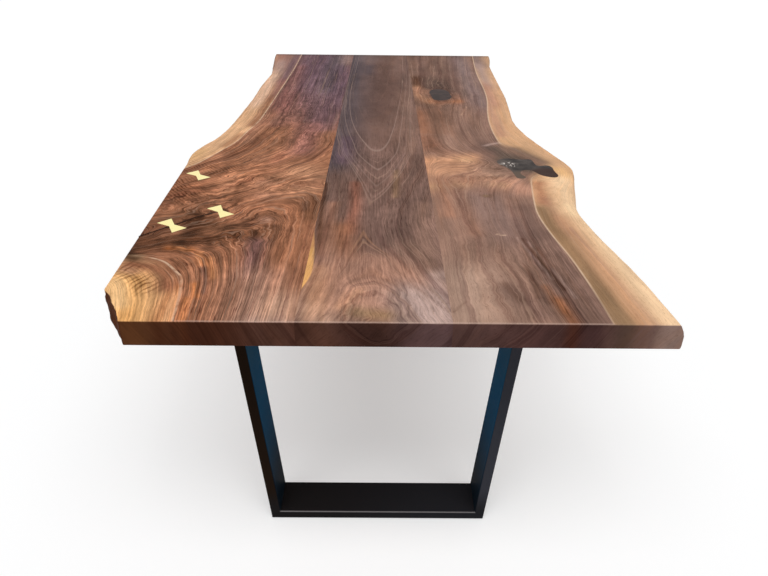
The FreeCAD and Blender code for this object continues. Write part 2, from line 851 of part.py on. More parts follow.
def front_plate():
    """The flat bar on top of the uprights, with slotted holes for the wood to move."""
    body = new_body("leg_plate", along=LEG_MIDDLE, up=PLATE_FACE)
    reach, depth = "Sizes.leg_top_half", "Sizes.tube_depth / 2"
    corners = rectangle(f"-{reach}", reach, f"-{depth}", depth)
    outline = outline_sketch(body, "XY_Plane", "outline", corners)
    flat = pad(body, outline, "Sizes.plate_thickness")
    round_long_edges(body, flat, FreeCAD.Vector(0, 0, 1), "Sizes.plate_corner")
    hole_corners = slot("Sizes.slot_length", "2 * Sizes.hole_radius")
    hole_sketch = outline_sketch(body, "XY_Plane", "hole", hole_corners)
    hole_sketch.setExpression("AttachmentOffset.Base.x", LEG_GRID_X)
    hole_sketch.setExpression("AttachmentOffset.Base.y", "-Sizes.leg_bolt_rows / 2")
    hole = pocket(body, hole_sketch, upwards=True)
    leg_grid(body, [hole])
    return finished(body, "front_leg_plate")


def front_glides():
    """Two thin pads under the foot bar."""
    body = new_body("glides", across="-Sizes.glide_place", along=LEG_MIDDLE)
    wide, deep = "Sizes.glide_width / 2", "Sizes.glide_length / 2"
    corners = rectangle(f"-{wide}", wide, f"-{deep}", deep)
    outline = outline_sketch(body, "XY_Plane", "outline", corners)
    pads = pad(body, outline, "Sizes.glide_thickness")
    repeat_grid(body, [pads], "2 * Sizes.glide_place", 2, "0", 1)
    return finished(body, "front_leg_glides")


right_upright = front_upright()
left_upright = finished(mirrored(right_upright, "left_upright", SIDEWAYS), "front_left_upright")
foot_bar = front_foot_bar()
leg_plate = front_plate()
glides = front_glides()
for kind, group in front_fasteners.items():
    finished(group, f"front_leg_{kind}")
    finished(mirrored(group, f"rear_{kind}", LENGTHWAYS), f"rear_leg_{kind}")
for kind, group in channel_fasteners.items():
    finished(group, f"channel_{kind}")
for piece in (right_upright, left_upright, foot_bar, leg_plate, glides):
    rear_name = piece.Label.replace("front", "rear")
    finished(mirrored(piece, f"{rear_name}_image", LENGTHWAYS), rear_name)

document.recompute()
for item in document.Objects:
    if "Invalid" in item.State or "Error" in item.State:
        raise RuntimeError(f"{item.Label} could not be rebuilt")
for piece in sub_parts:
    if piece.Shape.isNull() or not piece.Shape.isValid():
        raise RuntimeError(f"{piece.Label} has no valid shape")
for piece in sub_parts:
    piece.Shape.exportStep(f"parts/{piece.Label}.step")
    print(piece.Label, len(piece.Shape.Solids), round(piece.Shape.Volume))
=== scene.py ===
# %% [markdown]
# # A live edge walnut table
#
# The table has three wide boards: two slabs that keep the tree's own edge, and a straight
# board glued between them. Brass bow ties hold a crack, black resin fills two knots, and two
# leg frames of steel tube carry the top.
#
# The shapes come packed from the workshop drawing. This lesson loads them, gives each piece
# its finish, and makes again the few pieces that need a finer mesh than a drawing has.

import math

import bmesh
import bpy
import numpy as np
from mathutils import Matrix, Vector, noise


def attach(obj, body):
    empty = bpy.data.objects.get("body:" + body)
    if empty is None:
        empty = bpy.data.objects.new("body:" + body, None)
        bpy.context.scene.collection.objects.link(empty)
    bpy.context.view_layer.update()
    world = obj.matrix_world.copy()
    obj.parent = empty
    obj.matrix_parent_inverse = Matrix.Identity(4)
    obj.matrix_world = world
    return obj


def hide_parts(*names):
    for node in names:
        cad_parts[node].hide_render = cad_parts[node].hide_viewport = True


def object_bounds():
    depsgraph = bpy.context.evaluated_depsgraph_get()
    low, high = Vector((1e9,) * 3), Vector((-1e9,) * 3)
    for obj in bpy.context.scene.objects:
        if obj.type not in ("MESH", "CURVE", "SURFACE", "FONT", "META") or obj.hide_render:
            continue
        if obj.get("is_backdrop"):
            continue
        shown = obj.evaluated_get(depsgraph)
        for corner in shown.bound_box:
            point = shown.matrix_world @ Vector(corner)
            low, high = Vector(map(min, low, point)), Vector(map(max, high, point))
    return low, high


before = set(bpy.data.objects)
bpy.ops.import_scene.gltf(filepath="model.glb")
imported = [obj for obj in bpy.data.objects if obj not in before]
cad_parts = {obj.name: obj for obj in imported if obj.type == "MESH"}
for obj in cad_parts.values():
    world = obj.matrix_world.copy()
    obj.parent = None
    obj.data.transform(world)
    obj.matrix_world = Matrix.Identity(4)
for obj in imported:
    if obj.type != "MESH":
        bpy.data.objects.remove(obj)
drawn_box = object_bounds()
print("pieces in the drawing:", len(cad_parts))

# %% [markdown]
# ## The camera
#
# A camera could be placed by eye, but the outline of the top and of the near leg fix it: only
# one place, tilt and lens give those two shapes together. It stands at the height of a chest,
# off the near end, and looks down the table.

# %% Set up the camera
CAMERA_PLACE = (0.003, -2.17525, 1.3601)
LENS_SHARE = 626.343 / 768
LOOK_DOWN = 0.527957
LOOK_ASIDE = -0.006357
HEAD_TILT = 0.011017

lens = bpy.data.cameras.new("camera")
lens.sensor_width = 36
lens.lens = lens.sensor_width * LENS_SHARE
camera = bpy.data.objects.new("camera", lens)
bpy.context.scene.collection.objects.link(camera)
turn = Matrix.Rotation(LOOK_ASIDE, 4, "Z") @ Matrix.Rotation(math.pi / 2 - LOOK_DOWN, 4, "X")
camera.matrix_world = (
    Matrix.Translation(CAMERA_PLACE) @ turn @ Matrix.Rotation(HEAD_TILT, 4, "Z")
)
bpy.context.scene.camera = camera
bpy.context.scene.view_settings.view_transform = "Standard"
print("lens:", round(lens.lens, 2), "mm")

# %% [markdown]
# ## Small helpers
#
# A finish is a web of shader nodes. Wired by hand, each sum takes a node and a line of its own.
# Here the output of a node is kept as a wire that knows how to add and multiply, so the sums
# read like sums. Each still becomes a plain Math node that an artist can open and change.


# %% Helpers for materials
def paint(code):
    """A colour as it is written in a paint chart, turned into the light that Blender adds up."""
    shares = [int(code[k : k + 2], 16) / 255 for k in (1, 3, 5)]
    light = [s / 12.92 if s <= 0.04045 else ((s + 0.055) / 1.055) ** 2.4 for s in shares]
    return (*light, 1.0)


class Wire:
    """The output of a node. Sums with it add Math nodes to its tree."""

    def __init__(self, socket):
        self.socket = socket

    def step(self, operation, *others):
        """One Math node, with this wire first."""
        return add("Math", dict(enumerate((self, *others))), operation=operation)

    def __add__(self, other):
        return self.step("ADD", other)

    def __sub__(self, other):
        return self.step("SUBTRACT", other)

    def __rsub__(self, other):
        return add("Math", {0: other, 1: self}, operation="SUBTRACT")

    def __mul__(self, other):
        return self.step("MULTIPLY", other)

    def __abs__(self):
        return self.step("ABSOLUTE")


def fill(item, inputs):
    """Put a value, a colour or a wire on each named input."""
    for key, value in inputs.items():
        if isinstance(value, Wire):
            item.id_data.links.new(value.socket, item.inputs[key])
        else:
            item.inputs[key].default_value = paint(value) if isinstance(value, str) else value


def add(kind, inputs, tree=None, output=0, **settings):
    """A new node with its settings and inputs; gives one of its outputs as a wire."""
    tree = tree or next(v.socket.id_data for v in inputs.values() if isinstance(v, Wire))
    item = tree.nodes.new("ShaderNode" + kind)
    for key, value in settings.items():
        setattr(item, key, value)
    fill(item, inputs)
    return Wire(item.outputs[output])


def ramp(value, low, high, start=0.0, end=1.0):
    """Rise softly from start to end while the value goes from low to high."""
    inputs = dict(enumerate((value, low, high, start, end)))
    return add("MapRange", inputs, interpolation_type="SMOOTHSTEP")


def blend(share, first, second, mode="MIX"):
    """Mix two colours."""
    inputs = {0: share, 6: first, 7: second}
    return add("Mix", inputs, output=2, data_type="RGBA", blend_type=mode)


def cloud(place, scale, detail=2.0, roughness=0.5):
    """A soft random pattern between 0 and 1."""
    inputs = {"Vector": place, "Scale": scale, "Detail": detail, "Roughness": roughness}
    return add("TexNoise", inputs)


def xyz(place):
    """The three numbers of a place."""
    return [add("SeparateXYZ", {0: place}, output=k) for k in range(3)]


def new_finish(name):
    """An empty material: itself, its tree, its main shader and the place on the piece."""
    finish = bpy.data.materials.new(name)
    finish.use_nodes = True
    tree = finish.node_tree
    return finish, tree, tree.nodes["Principled BSDF"], add("TexCoord", {}, tree, "Object")


# %% [markdown]
# ## The floor and the light
#
# A white studio could be a real white room, but a room throws its own colours about. Here the
# floor is one pale sheet, the sky is an even white, and a row of wide suns adds the soft shade
# under the top. The sky looks plain white to the lens and in shiny metal, but lights the table
# at a level where colours look as mixed.

# %% Lay the floor and light it
FLOOR_REACH = 30.0
FLOOR_GLOW = 0.4
SKY_LEVEL = 0.36
SUN_LEVEL = 0.68
SUN_WIDTH = 0.5
SUN_LEAN = 0.38
SUN_TURNS = (-SUN_LEAN, 0.0, SUN_LEAN)

floor_mesh = bmesh.new()
bmesh.ops.create_grid(floor_mesh, x_segments=1, y_segments=1, size=FLOOR_REACH)
floor_data = bpy.data.meshes.new("floor")
floor_mesh.to_mesh(floor_data)
floor_mesh.free()
floor = bpy.data.objects.new("floor", floor_data)
bpy.context.scene.collection.objects.link(floor)
floor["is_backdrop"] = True
floor_finish, tree, shader, spot = new_finish("pale floor")
seen = add("LightPath", {}, tree, "Is Camera Ray")
floor_colour = blend(seen, (0.8, 0.8, 0.8, 1), (0.654, 0.662, 0.668, 1))
fill(shader, {"Base Color": floor_colour, "Roughness": 1.0, "Specular IOR Level": 0.0,
              "Emission Color": (1, 1, 1, 1), "Emission Strength": seen * FLOOR_GLOW})
floor_data.materials.append(floor_finish)

world = bpy.data.worlds.new("studio")
bpy.context.scene.world = world
world.use_nodes = True
seen = add("LightPath", {}, world.node_tree, "Is Camera Ray")
for ray in ("Is Glossy Ray", "Is Transmission Ray"):
    seen = seen.step("MAXIMUM", add("LightPath", {}, world.node_tree, ray))
level = ramp(seen, 0.0, 1.0, SKY_LEVEL, 1.0)
fill(world.node_tree.nodes["Background"], {"Color": (1, 1, 1, 1), "Strength": level})

for number, turn in enumerate(SUN_TURNS):
    name = f"overhead light {number}"
    sun_data = bpy.data.lights.new(name, "SUN")
    sun_data.energy = SUN_LEVEL
    sun_data.angle = SUN_WIDTH
    sun = bpy.data.objects.new(name, sun_data)
    sun.rotation_euler = (SUN_LEAN, turn, 0)
    bpy.context.scene.collection.objects.link(sun)
print("sky", SKY_LEVEL, "sun", SUN_LEVEL)

# %% [markdown]
# ## The outline of the boards
#
# The live edge is the line of the trunk under its bark. It could be a handful of random
# bumps, but each tree has its own line, so the edge is written as points along the table,
# the same ones as in the drawing: how far out, how far along, and how much the wood swells
# below the top face. On the left, a stretch is sawn straight, and the near corner keeps bark.

# %% Write down the edges
HALF_WIDTH = 0.5575
HALF_LENGTH = 1.27
TOP_FACE = 0.762
THICKNESS = 0.0508
LEFT_SEAM = -0.1465
RIGHT_SEAM = 0.1295
SWELL = 0.0105
FLUSH = 0.00015
ARRIS = 0.0016

BARK_TOP = [
    (0.81, -1.0), (0.826, -0.982), (0.848, -0.965), (0.872, -0.951), (0.893, -0.933),
    (0.925, -0.916),
]
BARK_FOOT = [
    (0.812, -1.0), (0.838, -0.981), (0.863, -0.961), (0.897, -0.941), (0.915, -0.927),
    (0.925, -0.916),
]
LEFT_EDGE = [
    (0.989, -0.357, 0.0), (0.998, -0.323, 0.7), (1.0, -0.276, 1.0), (0.977, -0.226, 1.0),
    (0.943, -0.176, 1.0), (0.923, -0.125, 1.0), (0.908, -0.047, 1.0), (0.9, 0.114, 1.0),
    (0.897, 0.258, 0.9), (0.905, 0.424, 0.9), (0.897, 0.616, 0.8), (0.917, 0.723, 1.0),
    (0.948, 0.839, 1.0), (0.988, 1.0, 1.0),
]
RIGHT_EDGE = [
    (0.943, -1.0, 0.9), (0.936, -0.954, 1.0), (0.915, -0.847, 1.0), (0.879, -0.74, 1.0),
    (0.857, -0.639, 1.0), (0.862, -0.581, 1.0), (0.895, -0.519, 0.9), (0.932, -0.45, 0.8),
    (0.953, -0.413, 0.8), (0.971, -0.375, 0.9), (0.964, -0.335, 1.0), (0.941, -0.292, 1.0),
    (0.893, -0.202, 1.0), (0.849, -0.101, 1.0), (0.83, 0.013, 0.9), (0.855, 0.143, 0.9),
    (0.885, 0.289, 0.9), (0.903, 0.457, 0.8), (0.923, 0.653, 0.8), (0.935, 0.762, 0.9),
    (0.957, 0.882, 1.0), (1.0, 1.0, 1.0),
]

# Depth of each ring of the side wall, and the share of the swell that the wall has there.
WALL_DEPTHS = [0.0, 0.032, 0.12, 0.28, 0.48, 0.7, 0.88, 0.968, 1.0]
SWELL_DEPTHS = [0.0, 0.2, 0.45, 0.75, 1.0]
SWELL_SHARES = [0.0, 0.58, 1.0, 1.16, 1.0]


def flowing(points, steps=12):
    """A smooth line through points: each stretch bends with its neighbours."""
    line = np.array(points, float)
    ends = np.vstack([2 * line[0] - line[1], line, 2 * line[-1] - line[-2]])
    share = np.linspace(0, 1, steps, endpoint=False)[:, None]
    parts = []
    for a, b, c, d in zip(ends, ends[1:], ends[2:], ends[3:]):
        bend = 2 * a - 5 * b + 4 * c - d
        twist = 3 * b - a - 3 * c + d
        parts.append(b + ((c - a) * share + bend * share**2 + twist * share**3) / 2)
    return np.vstack(parts + [line[-1:]])


def natural_edge(points, depth):
    """A natural edge at one depth: how far along the table and how far out."""
    line = flowing(points)
    swell = SWELL * np.interp(depth, SWELL_DEPTHS, SWELL_SHARES)
    return line[:, 1] * HALF_LENGTH, line[:, 0] * HALF_WIDTH + line[:, 2] * swell


def left_outline(depth):
    """The left edge, with its bark corner."""
    corner = np.array(BARK_TOP) * (1 - depth) + np.array(BARK_FOOT) * depth
    corner = flowing(corner) * (HALF_WIDTH, HALF_LENGTH)
    along, out = natural_edge(LEFT_EDGE, depth)
    return np.append(corner[:, 1], along), -np.append(corner[:, 0], out)


def right_outline(depth):
    """The right edge is natural all along."""
    return natural_edge(RIGHT_EDGE, depth)


print("left edge at the middle:", np.round(np.interp(0, *left_outline(0)), 4))

# %% [markdown]
# ## The blank boards
#
# Each board starts as one square grid, pushed down to give it thickness, with its side walls
# divided into rings. A few large faces would do for the shape, but the figure of the wood is
# stored on the mesh points further on, so the grid is about five millimetres fine. Then every
# point is laid out: across from the glue line to the edge, and down through the swell.


# %% Make a blank
GRID_STEP = 0.0055
RELIEF = 0.0009
SAWN = (-1.163, -0.45)
FAR_BARK = 0.85


def unit_board(across_count, along_count):
    """A closed block, one unit each way, with a fine grid on top and rings round its wall."""
    block = bmesh.new()
    bmesh.ops.create_grid(block, x_segments=across_count, y_segments=along_count, size=0.5)
    made = bmesh.ops.extrude_face_region(block, geom=block.faces[:])
    low = [item for item in made["geom"] if isinstance(item, bmesh.types.BMVert)]
    bmesh.ops.translate(block, verts=low, vec=(0, 0, -1))
    rims = [e for e in block.edges if abs(e.verts[0].co.z - e.verts[1].co.z) > 0.5]
    bmesh.ops.subdivide_edges(block, edges=rims, cuts=len(WALL_DEPTHS) - 2, use_grid_fill=True)
    return block


def lay_out(block, seam, outline, easing):
    """Move the block's points to their places; gives places, share across and depth ring."""
    unit = np.array([vert.co for vert in block.verts])
    across, along = unit[:, 0] + 0.5, unit[:, 1] * 2
    ring = np.rint(-unit[:, 2] * (len(WALL_DEPTHS) - 1)).astype(int)
    reach = HALF_LENGTH - np.where(ring == 0, ARRIS, 0)
    y = np.clip(along * HALF_LENGTH, -reach, reach)
    x = np.zeros(len(y))
    for number, depth in enumerate(WALL_DEPTHS):
        here = ring == number
        eased = easing if number in (0, len(WALL_DEPTHS) - 1) else 0
        edge = np.interp(y[here], *outline(depth))
        edge = edge - np.sign(edge) * eased
        x[here] = seam + (edge - seam) * across[here]
    z = TOP_FACE - FLUSH - np.array(WALL_DEPTHS)[ring] * (THICKNESS - 2 * FLUSH)
    return np.column_stack([x, y, z]), across, ring


def roughen(places, across, height, bark):
    """Small hollows and ridges on the natural edge, deeper where bark is left."""
    for k in np.flatnonzero(across > 0.9):
        spot = Vector((places[k, 1] * 26, places[k, 2] * 60, places[k, 0] * 6))
        swing = noise.noise(spot) + 0.5 * noise.noise(spot * 2.7)
        depth = height(places[k, 1]) * (1 + 3 * bark(places[k, 1]))
        places[k, 0] += swing * depth * ((across[k] - 0.9) / 0.1) ** 2


def board(name, seam, outline, node, height, bark=lambda along: 0.0, easing=0.0012):
    """A whole board: its piece, the places of its points, share across and depth ring."""
    widest = np.abs(outline(0.0)[1] - seam).max()
    counts = round(widest / GRID_STEP), round(2 * HALF_LENGTH / GRID_STEP)
    block = unit_board(*counts)
    places, across, ring = lay_out(block, seam, outline, easing)
    roughen(places, across, height, bark)
    for vert, place in zip(block.verts, places):
        vert.co = place
    bmesh.ops.recalc_face_normals(block, faces=block.faces[:])
    for edge in block.edges:
        edge.smooth = edge.calc_face_angle(0.0) < 0.7
    for face in block.faces:
        face.smooth = True
    open_edges = sum(1 for edge in block.edges if len(edge.link_faces) != 2)
    mesh = bpy.data.meshes.new(name)
    block.to_mesh(mesh)
    block.free()
    piece = bpy.data.objects.new(name, mesh)
    bpy.context.scene.collection.objects.link(piece)
    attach(piece, "root")
    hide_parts(node)
    print(name, "faces:", len(mesh.polygons), "open edges:", open_edges)
    return piece, places, across, ring


def left_height(along):
    """No relief on the stretch that is sawn straight."""
    return 0.0 if SAWN[0] < along < SAWN[1] else RELIEF


def left_bark(along):
    """The left slab keeps thick bark at its near corner; towards the far end its wall takes a growing
    share of the dark bark tone and rough relief.
    """
    return 1.0 if along < SAWN[0] else max(0.0, along - FAR_BARK)


def centre_outline(depth):
    """The straight board ends at the right glue line."""
    return np.array([-HALF_LENGTH, HALF_LENGTH]), np.array([RIGHT_SEAM, RIGHT_SEAM])


boards = {
    "left": board("left_slab_wood", LEFT_SEAM, left_outline, "left_slab", left_height, left_bark),
    "centre": board("centre_board_wood", LEFT_SEAM, centre_outline, "centre_board",
                    lambda along: 0.0, easing=0.0),
    "right": board("right_slab_wood", RIGHT_SEAM, right_outline, "right_slab",
                   lambda along: RELIEF),
}

# %% [markdown]
# ## Growth lines
#
# Walnut figure is the tree's yearly rings, cut through by the saw. Straight stripes from a
# wave texture would look printed, because real lines bend round knots and pile up where the
# trunk forks. So the lines are drawn as guides: the age, counted from the glue line,
# and the path, point after point, across and along the table, all in millimetres. A bending
# sheet is passed through all the guides. The height of that sheet at each point of the board
# is stored on the mesh, and the finish reads it.

# %% Draw the guides on the two slabs
LEFT_GUIDES = {
    0: [-540, -950, -450, -850, -350, -740, -250, -640, -140, -545],
    30: [-140, -440, -230, -540, -330, -640, -430, -735, -540, -830],
    60: [-150, 1300, -150, 200, -152, -200, -165, -350, -240, -470, -330, -560, -430, -650,
        -545, -745],
    110: [-200, 1300, -200, 300, -200, -100, -215, -300, -275, -430, -360, -520, -450, -600,
        -545, -675],
    160: [-250, 1300, -250, 200, -255, -100, -280, -280, -330, -400, -400, -485, -480, -555,
        -550, -615],
    210: [-315, 1300, -312, 200, -320, -60, -345, -240, -385, -355, -440, -440, -505, -515,
        -550, -555],
    255: [-375, 1300, -360, 600, -360, 100, -375, -100, -400, -260, -440, -365, -490, -435,
        -550, -510],
    300: [-430, 1300, -417, 851, -398, 93, -426, -119, -448, -285, -475, -374, -516, -444,
        -545, -490],
    340: [-470, 1300, -450, 851, -440, 93, -465, -119, -490, -285, -525, -374, -545, -430],
    390: [-520, 1300, -495, 851, -487, 93, -508, -119, -535, -285, -560, -350],
    25: [-160, -1300, -158, -1000, -156, -760, -180, -690, -250, -690, -330, -770, -420, -865,
        -500, -940],
    61: [-192, -1300, -192, -1000, -196, -820, -215, -745, -262, -735, -330, -810, -410, -895,
        -520, -960],
    100: [-226, -1300, -226, -1050, -232, -900, -250, -830, -290, -830, -350, -875, -430, -925,
        -525, -975],
    150: [-258, -1300, -266, -1110, -278, -1020, -295, -950, -330, -920, -390, -930, -450, -955,
        -525, -990],
    200: [-290, -1300, -298, -1150, -318, -1060, -350, -990, -395, -968, -450, -978, -520, -1005],
    250: [-318, -1300, -330, -1160, -350, -1070, -380, -1015, -420, -1000, -460, -1003,
        -520, -1018],
    301: [-355, -1300, -365, -1210, -373, -1160, -388, -1112, -408, -1084, -440, -1052,
        -475, -1034, -520, -1028],
    341: [-398, -1300, -410, -1190, -430, -1130, -465, -1085, -515, -1060],
    380: [-435, -1300, -455, -1200, -480, -1150, -515, -1110],
    410: [-465, -1300, -490, -1210, -520, -1150],
}
RIGHT_GUIDES = {
    0: [130, 1300, 130, 300, 130, -200, 130, -440, 130, -700, 130, -1300],
    15: [150, 1300, 146, 600, 138, 400, 146, 0, 142, -300, 160, -385, 155, -430, 138, -480,
        142, -700, 146, -1300],
    40: [200, 1300, 180, 859, 165, 600, 150, 420, 160, 250, 165, 0, 165, -200, 185, -300,
        240, -370, 285, -410, 270, -440, 215, -460, 160, -490, 145, -560, 152, -700, 165, -900,
        160, -1100, 165, -1300],
    80: [265, 1300, 240, 859, 215, 600, 190, 480, 185, 400, 192, 320, 212, 230, 210, 100,
        208, -100, 215, -250, 255, -350, 310, -405],
    81: [300, -450, 255, -500, 225, -600, 215, -720, 212, -900, 215, -1100, 225, -1300],
    120: [320, 1300, 290, 859, 280, 560, 290, 420, 284, 300, 262, 180, 250, 50, 250, -150,
        272, -280, 315, -360, 350, -410],
    121: [375, -510, 320, -540, 275, -620, 262, -720, 262, -900, 272, -1100, 285, -1300],
    160: [370, 1300, 330, 859, 315, 560, 312, 400, 305, 250, 290, 100, 285, -100, 295, -230,
        330, -340, 362, -400],
    161: [385, -530, 340, -600, 318, -700, 310, -900, 320, -1100, 335, -1300],
    200: [420, 1300, 380, 859, 362, 494, 352, 324, 340, 142, 325, 8, 322, -114, 330, -224,
        345, -300, 378, -385],
    201: [398, -560, 365, -640, 352, -750, 350, -900, 360, -1100, 375, -1300],
    250: [476, 1300, 441, 859, 423, 494, 416, 324, 397, 142, 377, 8, 373, -114, 376, -224,
        400, -300, 430, -390],
    251: [420, -560, 401, -622, 392, -705, 389, -850, 392, -959, 405, -1101, 416, -1205,
        424, -1300],
    300: [510, 1300, 470, 859, 450, 494, 441, 324, 425, 142, 410, 8, 410, -114, 425, -224,
        455, -320, 500, -400, 515, -470, 495, -560, 450, -650, 432, -750, 432, -900, 447, -1050,
        468, -1300],
    340: [545, 1300, 505, 859, 485, 494, 474, 324, 460, 142, 450, 8, 458, -114, 478, -224,
        505, -320, 535, -400, 545, -470, 525, -560, 487, -650, 470, -750, 478, -900, 500, -1050,
        522, -1300],
}


def sheet_through(guides, spacing=45.0, slack=25.0):
    """Pass a thin bending sheet through all the guides; gives a function of the place."""
    spots, ages = [], []
    for age, points in guides.items():
        line = flowing(np.reshape(points, (-1, 2)))
        run = np.append(0, np.cumsum(np.hypot(*np.diff(line, axis=0).T)))
        marks = np.linspace(0, run[-1], max(2, int(run[-1] / spacing)))
        spots.append(np.column_stack([np.interp(marks, run, line[:, k]) for k in (0, 1)]))
        ages.append(np.full(len(marks), float(age)))
    spots, ages = np.vstack(spots) / 1000, np.concatenate(ages)
    count = len(spots)

    def bend(places):
        squared = ((places[:, None] - spots[None]) ** 2).sum(-1)
        return squared * np.log(squared + 1e-12)

    flat = np.column_stack([np.ones(count), spots])
    table = np.zeros((count + 3, count + 3))
    table[:count, :count] = bend(spots) + np.eye(count) * slack * 1e-5
    table[:count, count:] = flat
    table[count:, :count] = flat.T
    weights = np.linalg.solve(table, np.append(ages, np.zeros(3)))

    def age_at(places):
        parts = [bend(some) @ weights[:count] + weights[count] + some @ weights[count + 1 :]
                 for some in np.array_split(places, max(1, len(places) // 4000))]
        return np.concatenate(parts) / 1000

    return age_at


left_age = sheet_through(LEFT_GUIDES)
right_age = sheet_through(RIGHT_GUIDES)
print("two ages on the left:", left_age(np.array([[-0.3, 0.5], [-0.4, -1.0]])))

# %% [markdown]
# ## The straight board
#
# A board sawn near the heart of the tree shows peaks and loops, because the heart wanders up
# and down along the trunk. That can be worked out: the age of the wood is its distance from
# the heart line, so it is enough to say how deep the heart lies at each place along the board.

# %% Work out the age of the straight board
HEART_LINE = [
    (-1.3, 0.06, 0.005), (-1.21, 0.091, -0.002), (-1.1, 0.131, -0.015), (-1.026, 0.145, -0.021),
    (-0.96, 0.1556, -0.033), (-0.9, 0.16, -0.036), (-0.83, 0.163, -0.034), (-0.74, 0.16, -0.025),
    (-0.7, 0.157, -0.018), (-0.62, 0.149, -0.01), (-0.494, 0.136, -0.007), (-0.324, 0.121, -0.012),
    (-0.247, 0.1155, -0.014), (-0.125, 0.1056, -0.021), (0.056, 0.09, -0.026),
    (0.302, 0.072, -0.025), (0.517, 0.057, -0.02), (0.8, 0.05, -0.012), (1.3, 0.046, -0.004),
]


def centre_age(places, depth):
    """Distance from the heart line: each row says where along, how deep and how far aside."""
    heart = flowing(HEART_LINE)
    below = np.interp(places[:, 1], heart[:, 0], heart[:, 1]) + depth
    gap = np.abs(places[:, 0] - np.interp(places[:, 1], heart[:, 0], heart[:, 2]))
    point = np.interp(places[:, 1], [-0.6, -0.35], [0.03, 0.0])
    return np.sqrt(below**2 + gap**2 + 2 * point * gap)


def centre_grain(places):
    """The fibres run straight along the board and fan out at the near end."""
    along = [-1.3, -1.263, -1.17, -1.08, -0.947, -0.85]
    spread = np.interp(places[:, 1], along, [0.5, 0.545, 0.67, 0.8, 0.93, 1.0])
    middle = np.interp(places[:, 1], [-1.27, -0.85], [-0.01, -0.03])
    return (places[:, 0] - middle) * spread


# %% [markdown]
# ## Colour in strokes
#
# Walnut runs from grey purple to copper in one board. One ramp of browns can't do that, and a
# random blotch would put the colours in the wrong place, so the broad colour is brushed on,
# as a finisher tones a board. A few strokes near the ends paint a pale sheen, and one a
# highlight. A stroke is written as its width, its colour, its strength and its path, point
# after point, across and along the table in millimetres. Its edge fades out, and the next
# stroke lies on top.

# %% Brushes and palette
FAR_SHARE = 0.35
END_SHADE = 0.45
PALETTE = {
    "umber": "#553422", "peat": "#754f39", "russet": "#9c694e", "copper": "#ba8060",
    "apricot": "#d09a78", "rose": "#96665f", "plum": "#69525e", "dusk": "#5c5053",
    "taupe": "#7d6157", "fawn": "#9a7868", "ash": "#b0948a", "honey": "#deb088",
    "butter": "#f0bf86", "cream": "#ffe0ae", "smoke": "#5c5048", "rust": "#a8683f",
    "brick": "#8b5a42", "mauve": "#7a5c60", "cocoa": "#5f463e", "soot": "#3c2418",
    "amber": "#e0a868", "shell": "#d8ac92", "blush": "#c0907a", "slate": "#51474c",
    "mist": "#86716e", "olive": "#947659", "skin": "#e4bea4", "tan": "#b08068", "gold": "#f4c892",
    "moss": "#86592e", "pitch": "#2c1a0e", "wine": "#8a5846", "peach": "#ffdab0",
    "maize": "#f6b874", "fog": "#cdb0a6", "ember": "#c4845a", "sand": "#b29280",
}


def squeezed(places):
    """Shorten the far half along the table, so that a stroke there fades out slowly."""
    x, y = places.T
    return np.column_stack([x, np.where(y > 0, FAR_SHARE, 1) * y])


def away_from(places, points):
    """Distance of each place from a path, in metres, and the side it lies on."""
    line = np.reshape(points, (-1, 2)) / 1000
    if len(line) == 1:
        line = np.vstack([line, line + 1e-6])
    nearest = np.full(len(places), 9.0)
    side = np.ones(len(places))
    places, line = squeezed(places), squeezed(line)
    for start, end in zip(line, line[1:]):
        run = end - start
        share = np.clip((places - start) @ run / (run @ run), 0, 1)
        gap = (places - (start + share[:, None] * run)).T
        reach = np.hypot(*gap)
        closer = reach < nearest
        nearest = np.where(closer, reach, nearest)
        turn = run[0] * gap[1] - run[1] * gap[0]
        side = np.where(closer, np.sign(turn), side)
    return nearest, side


def faded(places, points, width):
    """How much of a stroke reaches each place: 1 on its path, less with the distance."""
    return np.exp(-((away_from(places, points)[0] * 1000 / width) ** 2))


def brushed(places, base, strokes):
    """Lay strokes over a base colour, and shade the far end."""
    colour = np.tile(paint(PALETTE[base]), (len(places), 1))
    for width, name, strength, *points in strokes:
        share = strength * faded(places, points, width)
        colour += share[:, None] * (np.array(paint(PALETTE[name])) - colour)
    far = np.clip((places[:, 1] - 1.19) / 0.08, 0, 1)
    return colour * (1 - END_SHADE * far**2)[:, None]


def dabbed(places, strokes):
    """The same for one number, where the strongest stroke counts."""
    amount = np.zeros(len(places))
    for width, strength, *points in strokes:
        amount = np.maximum(amount, faded(places, points, width) * strength)
    return amount


print("colours:", len(PALETTE))

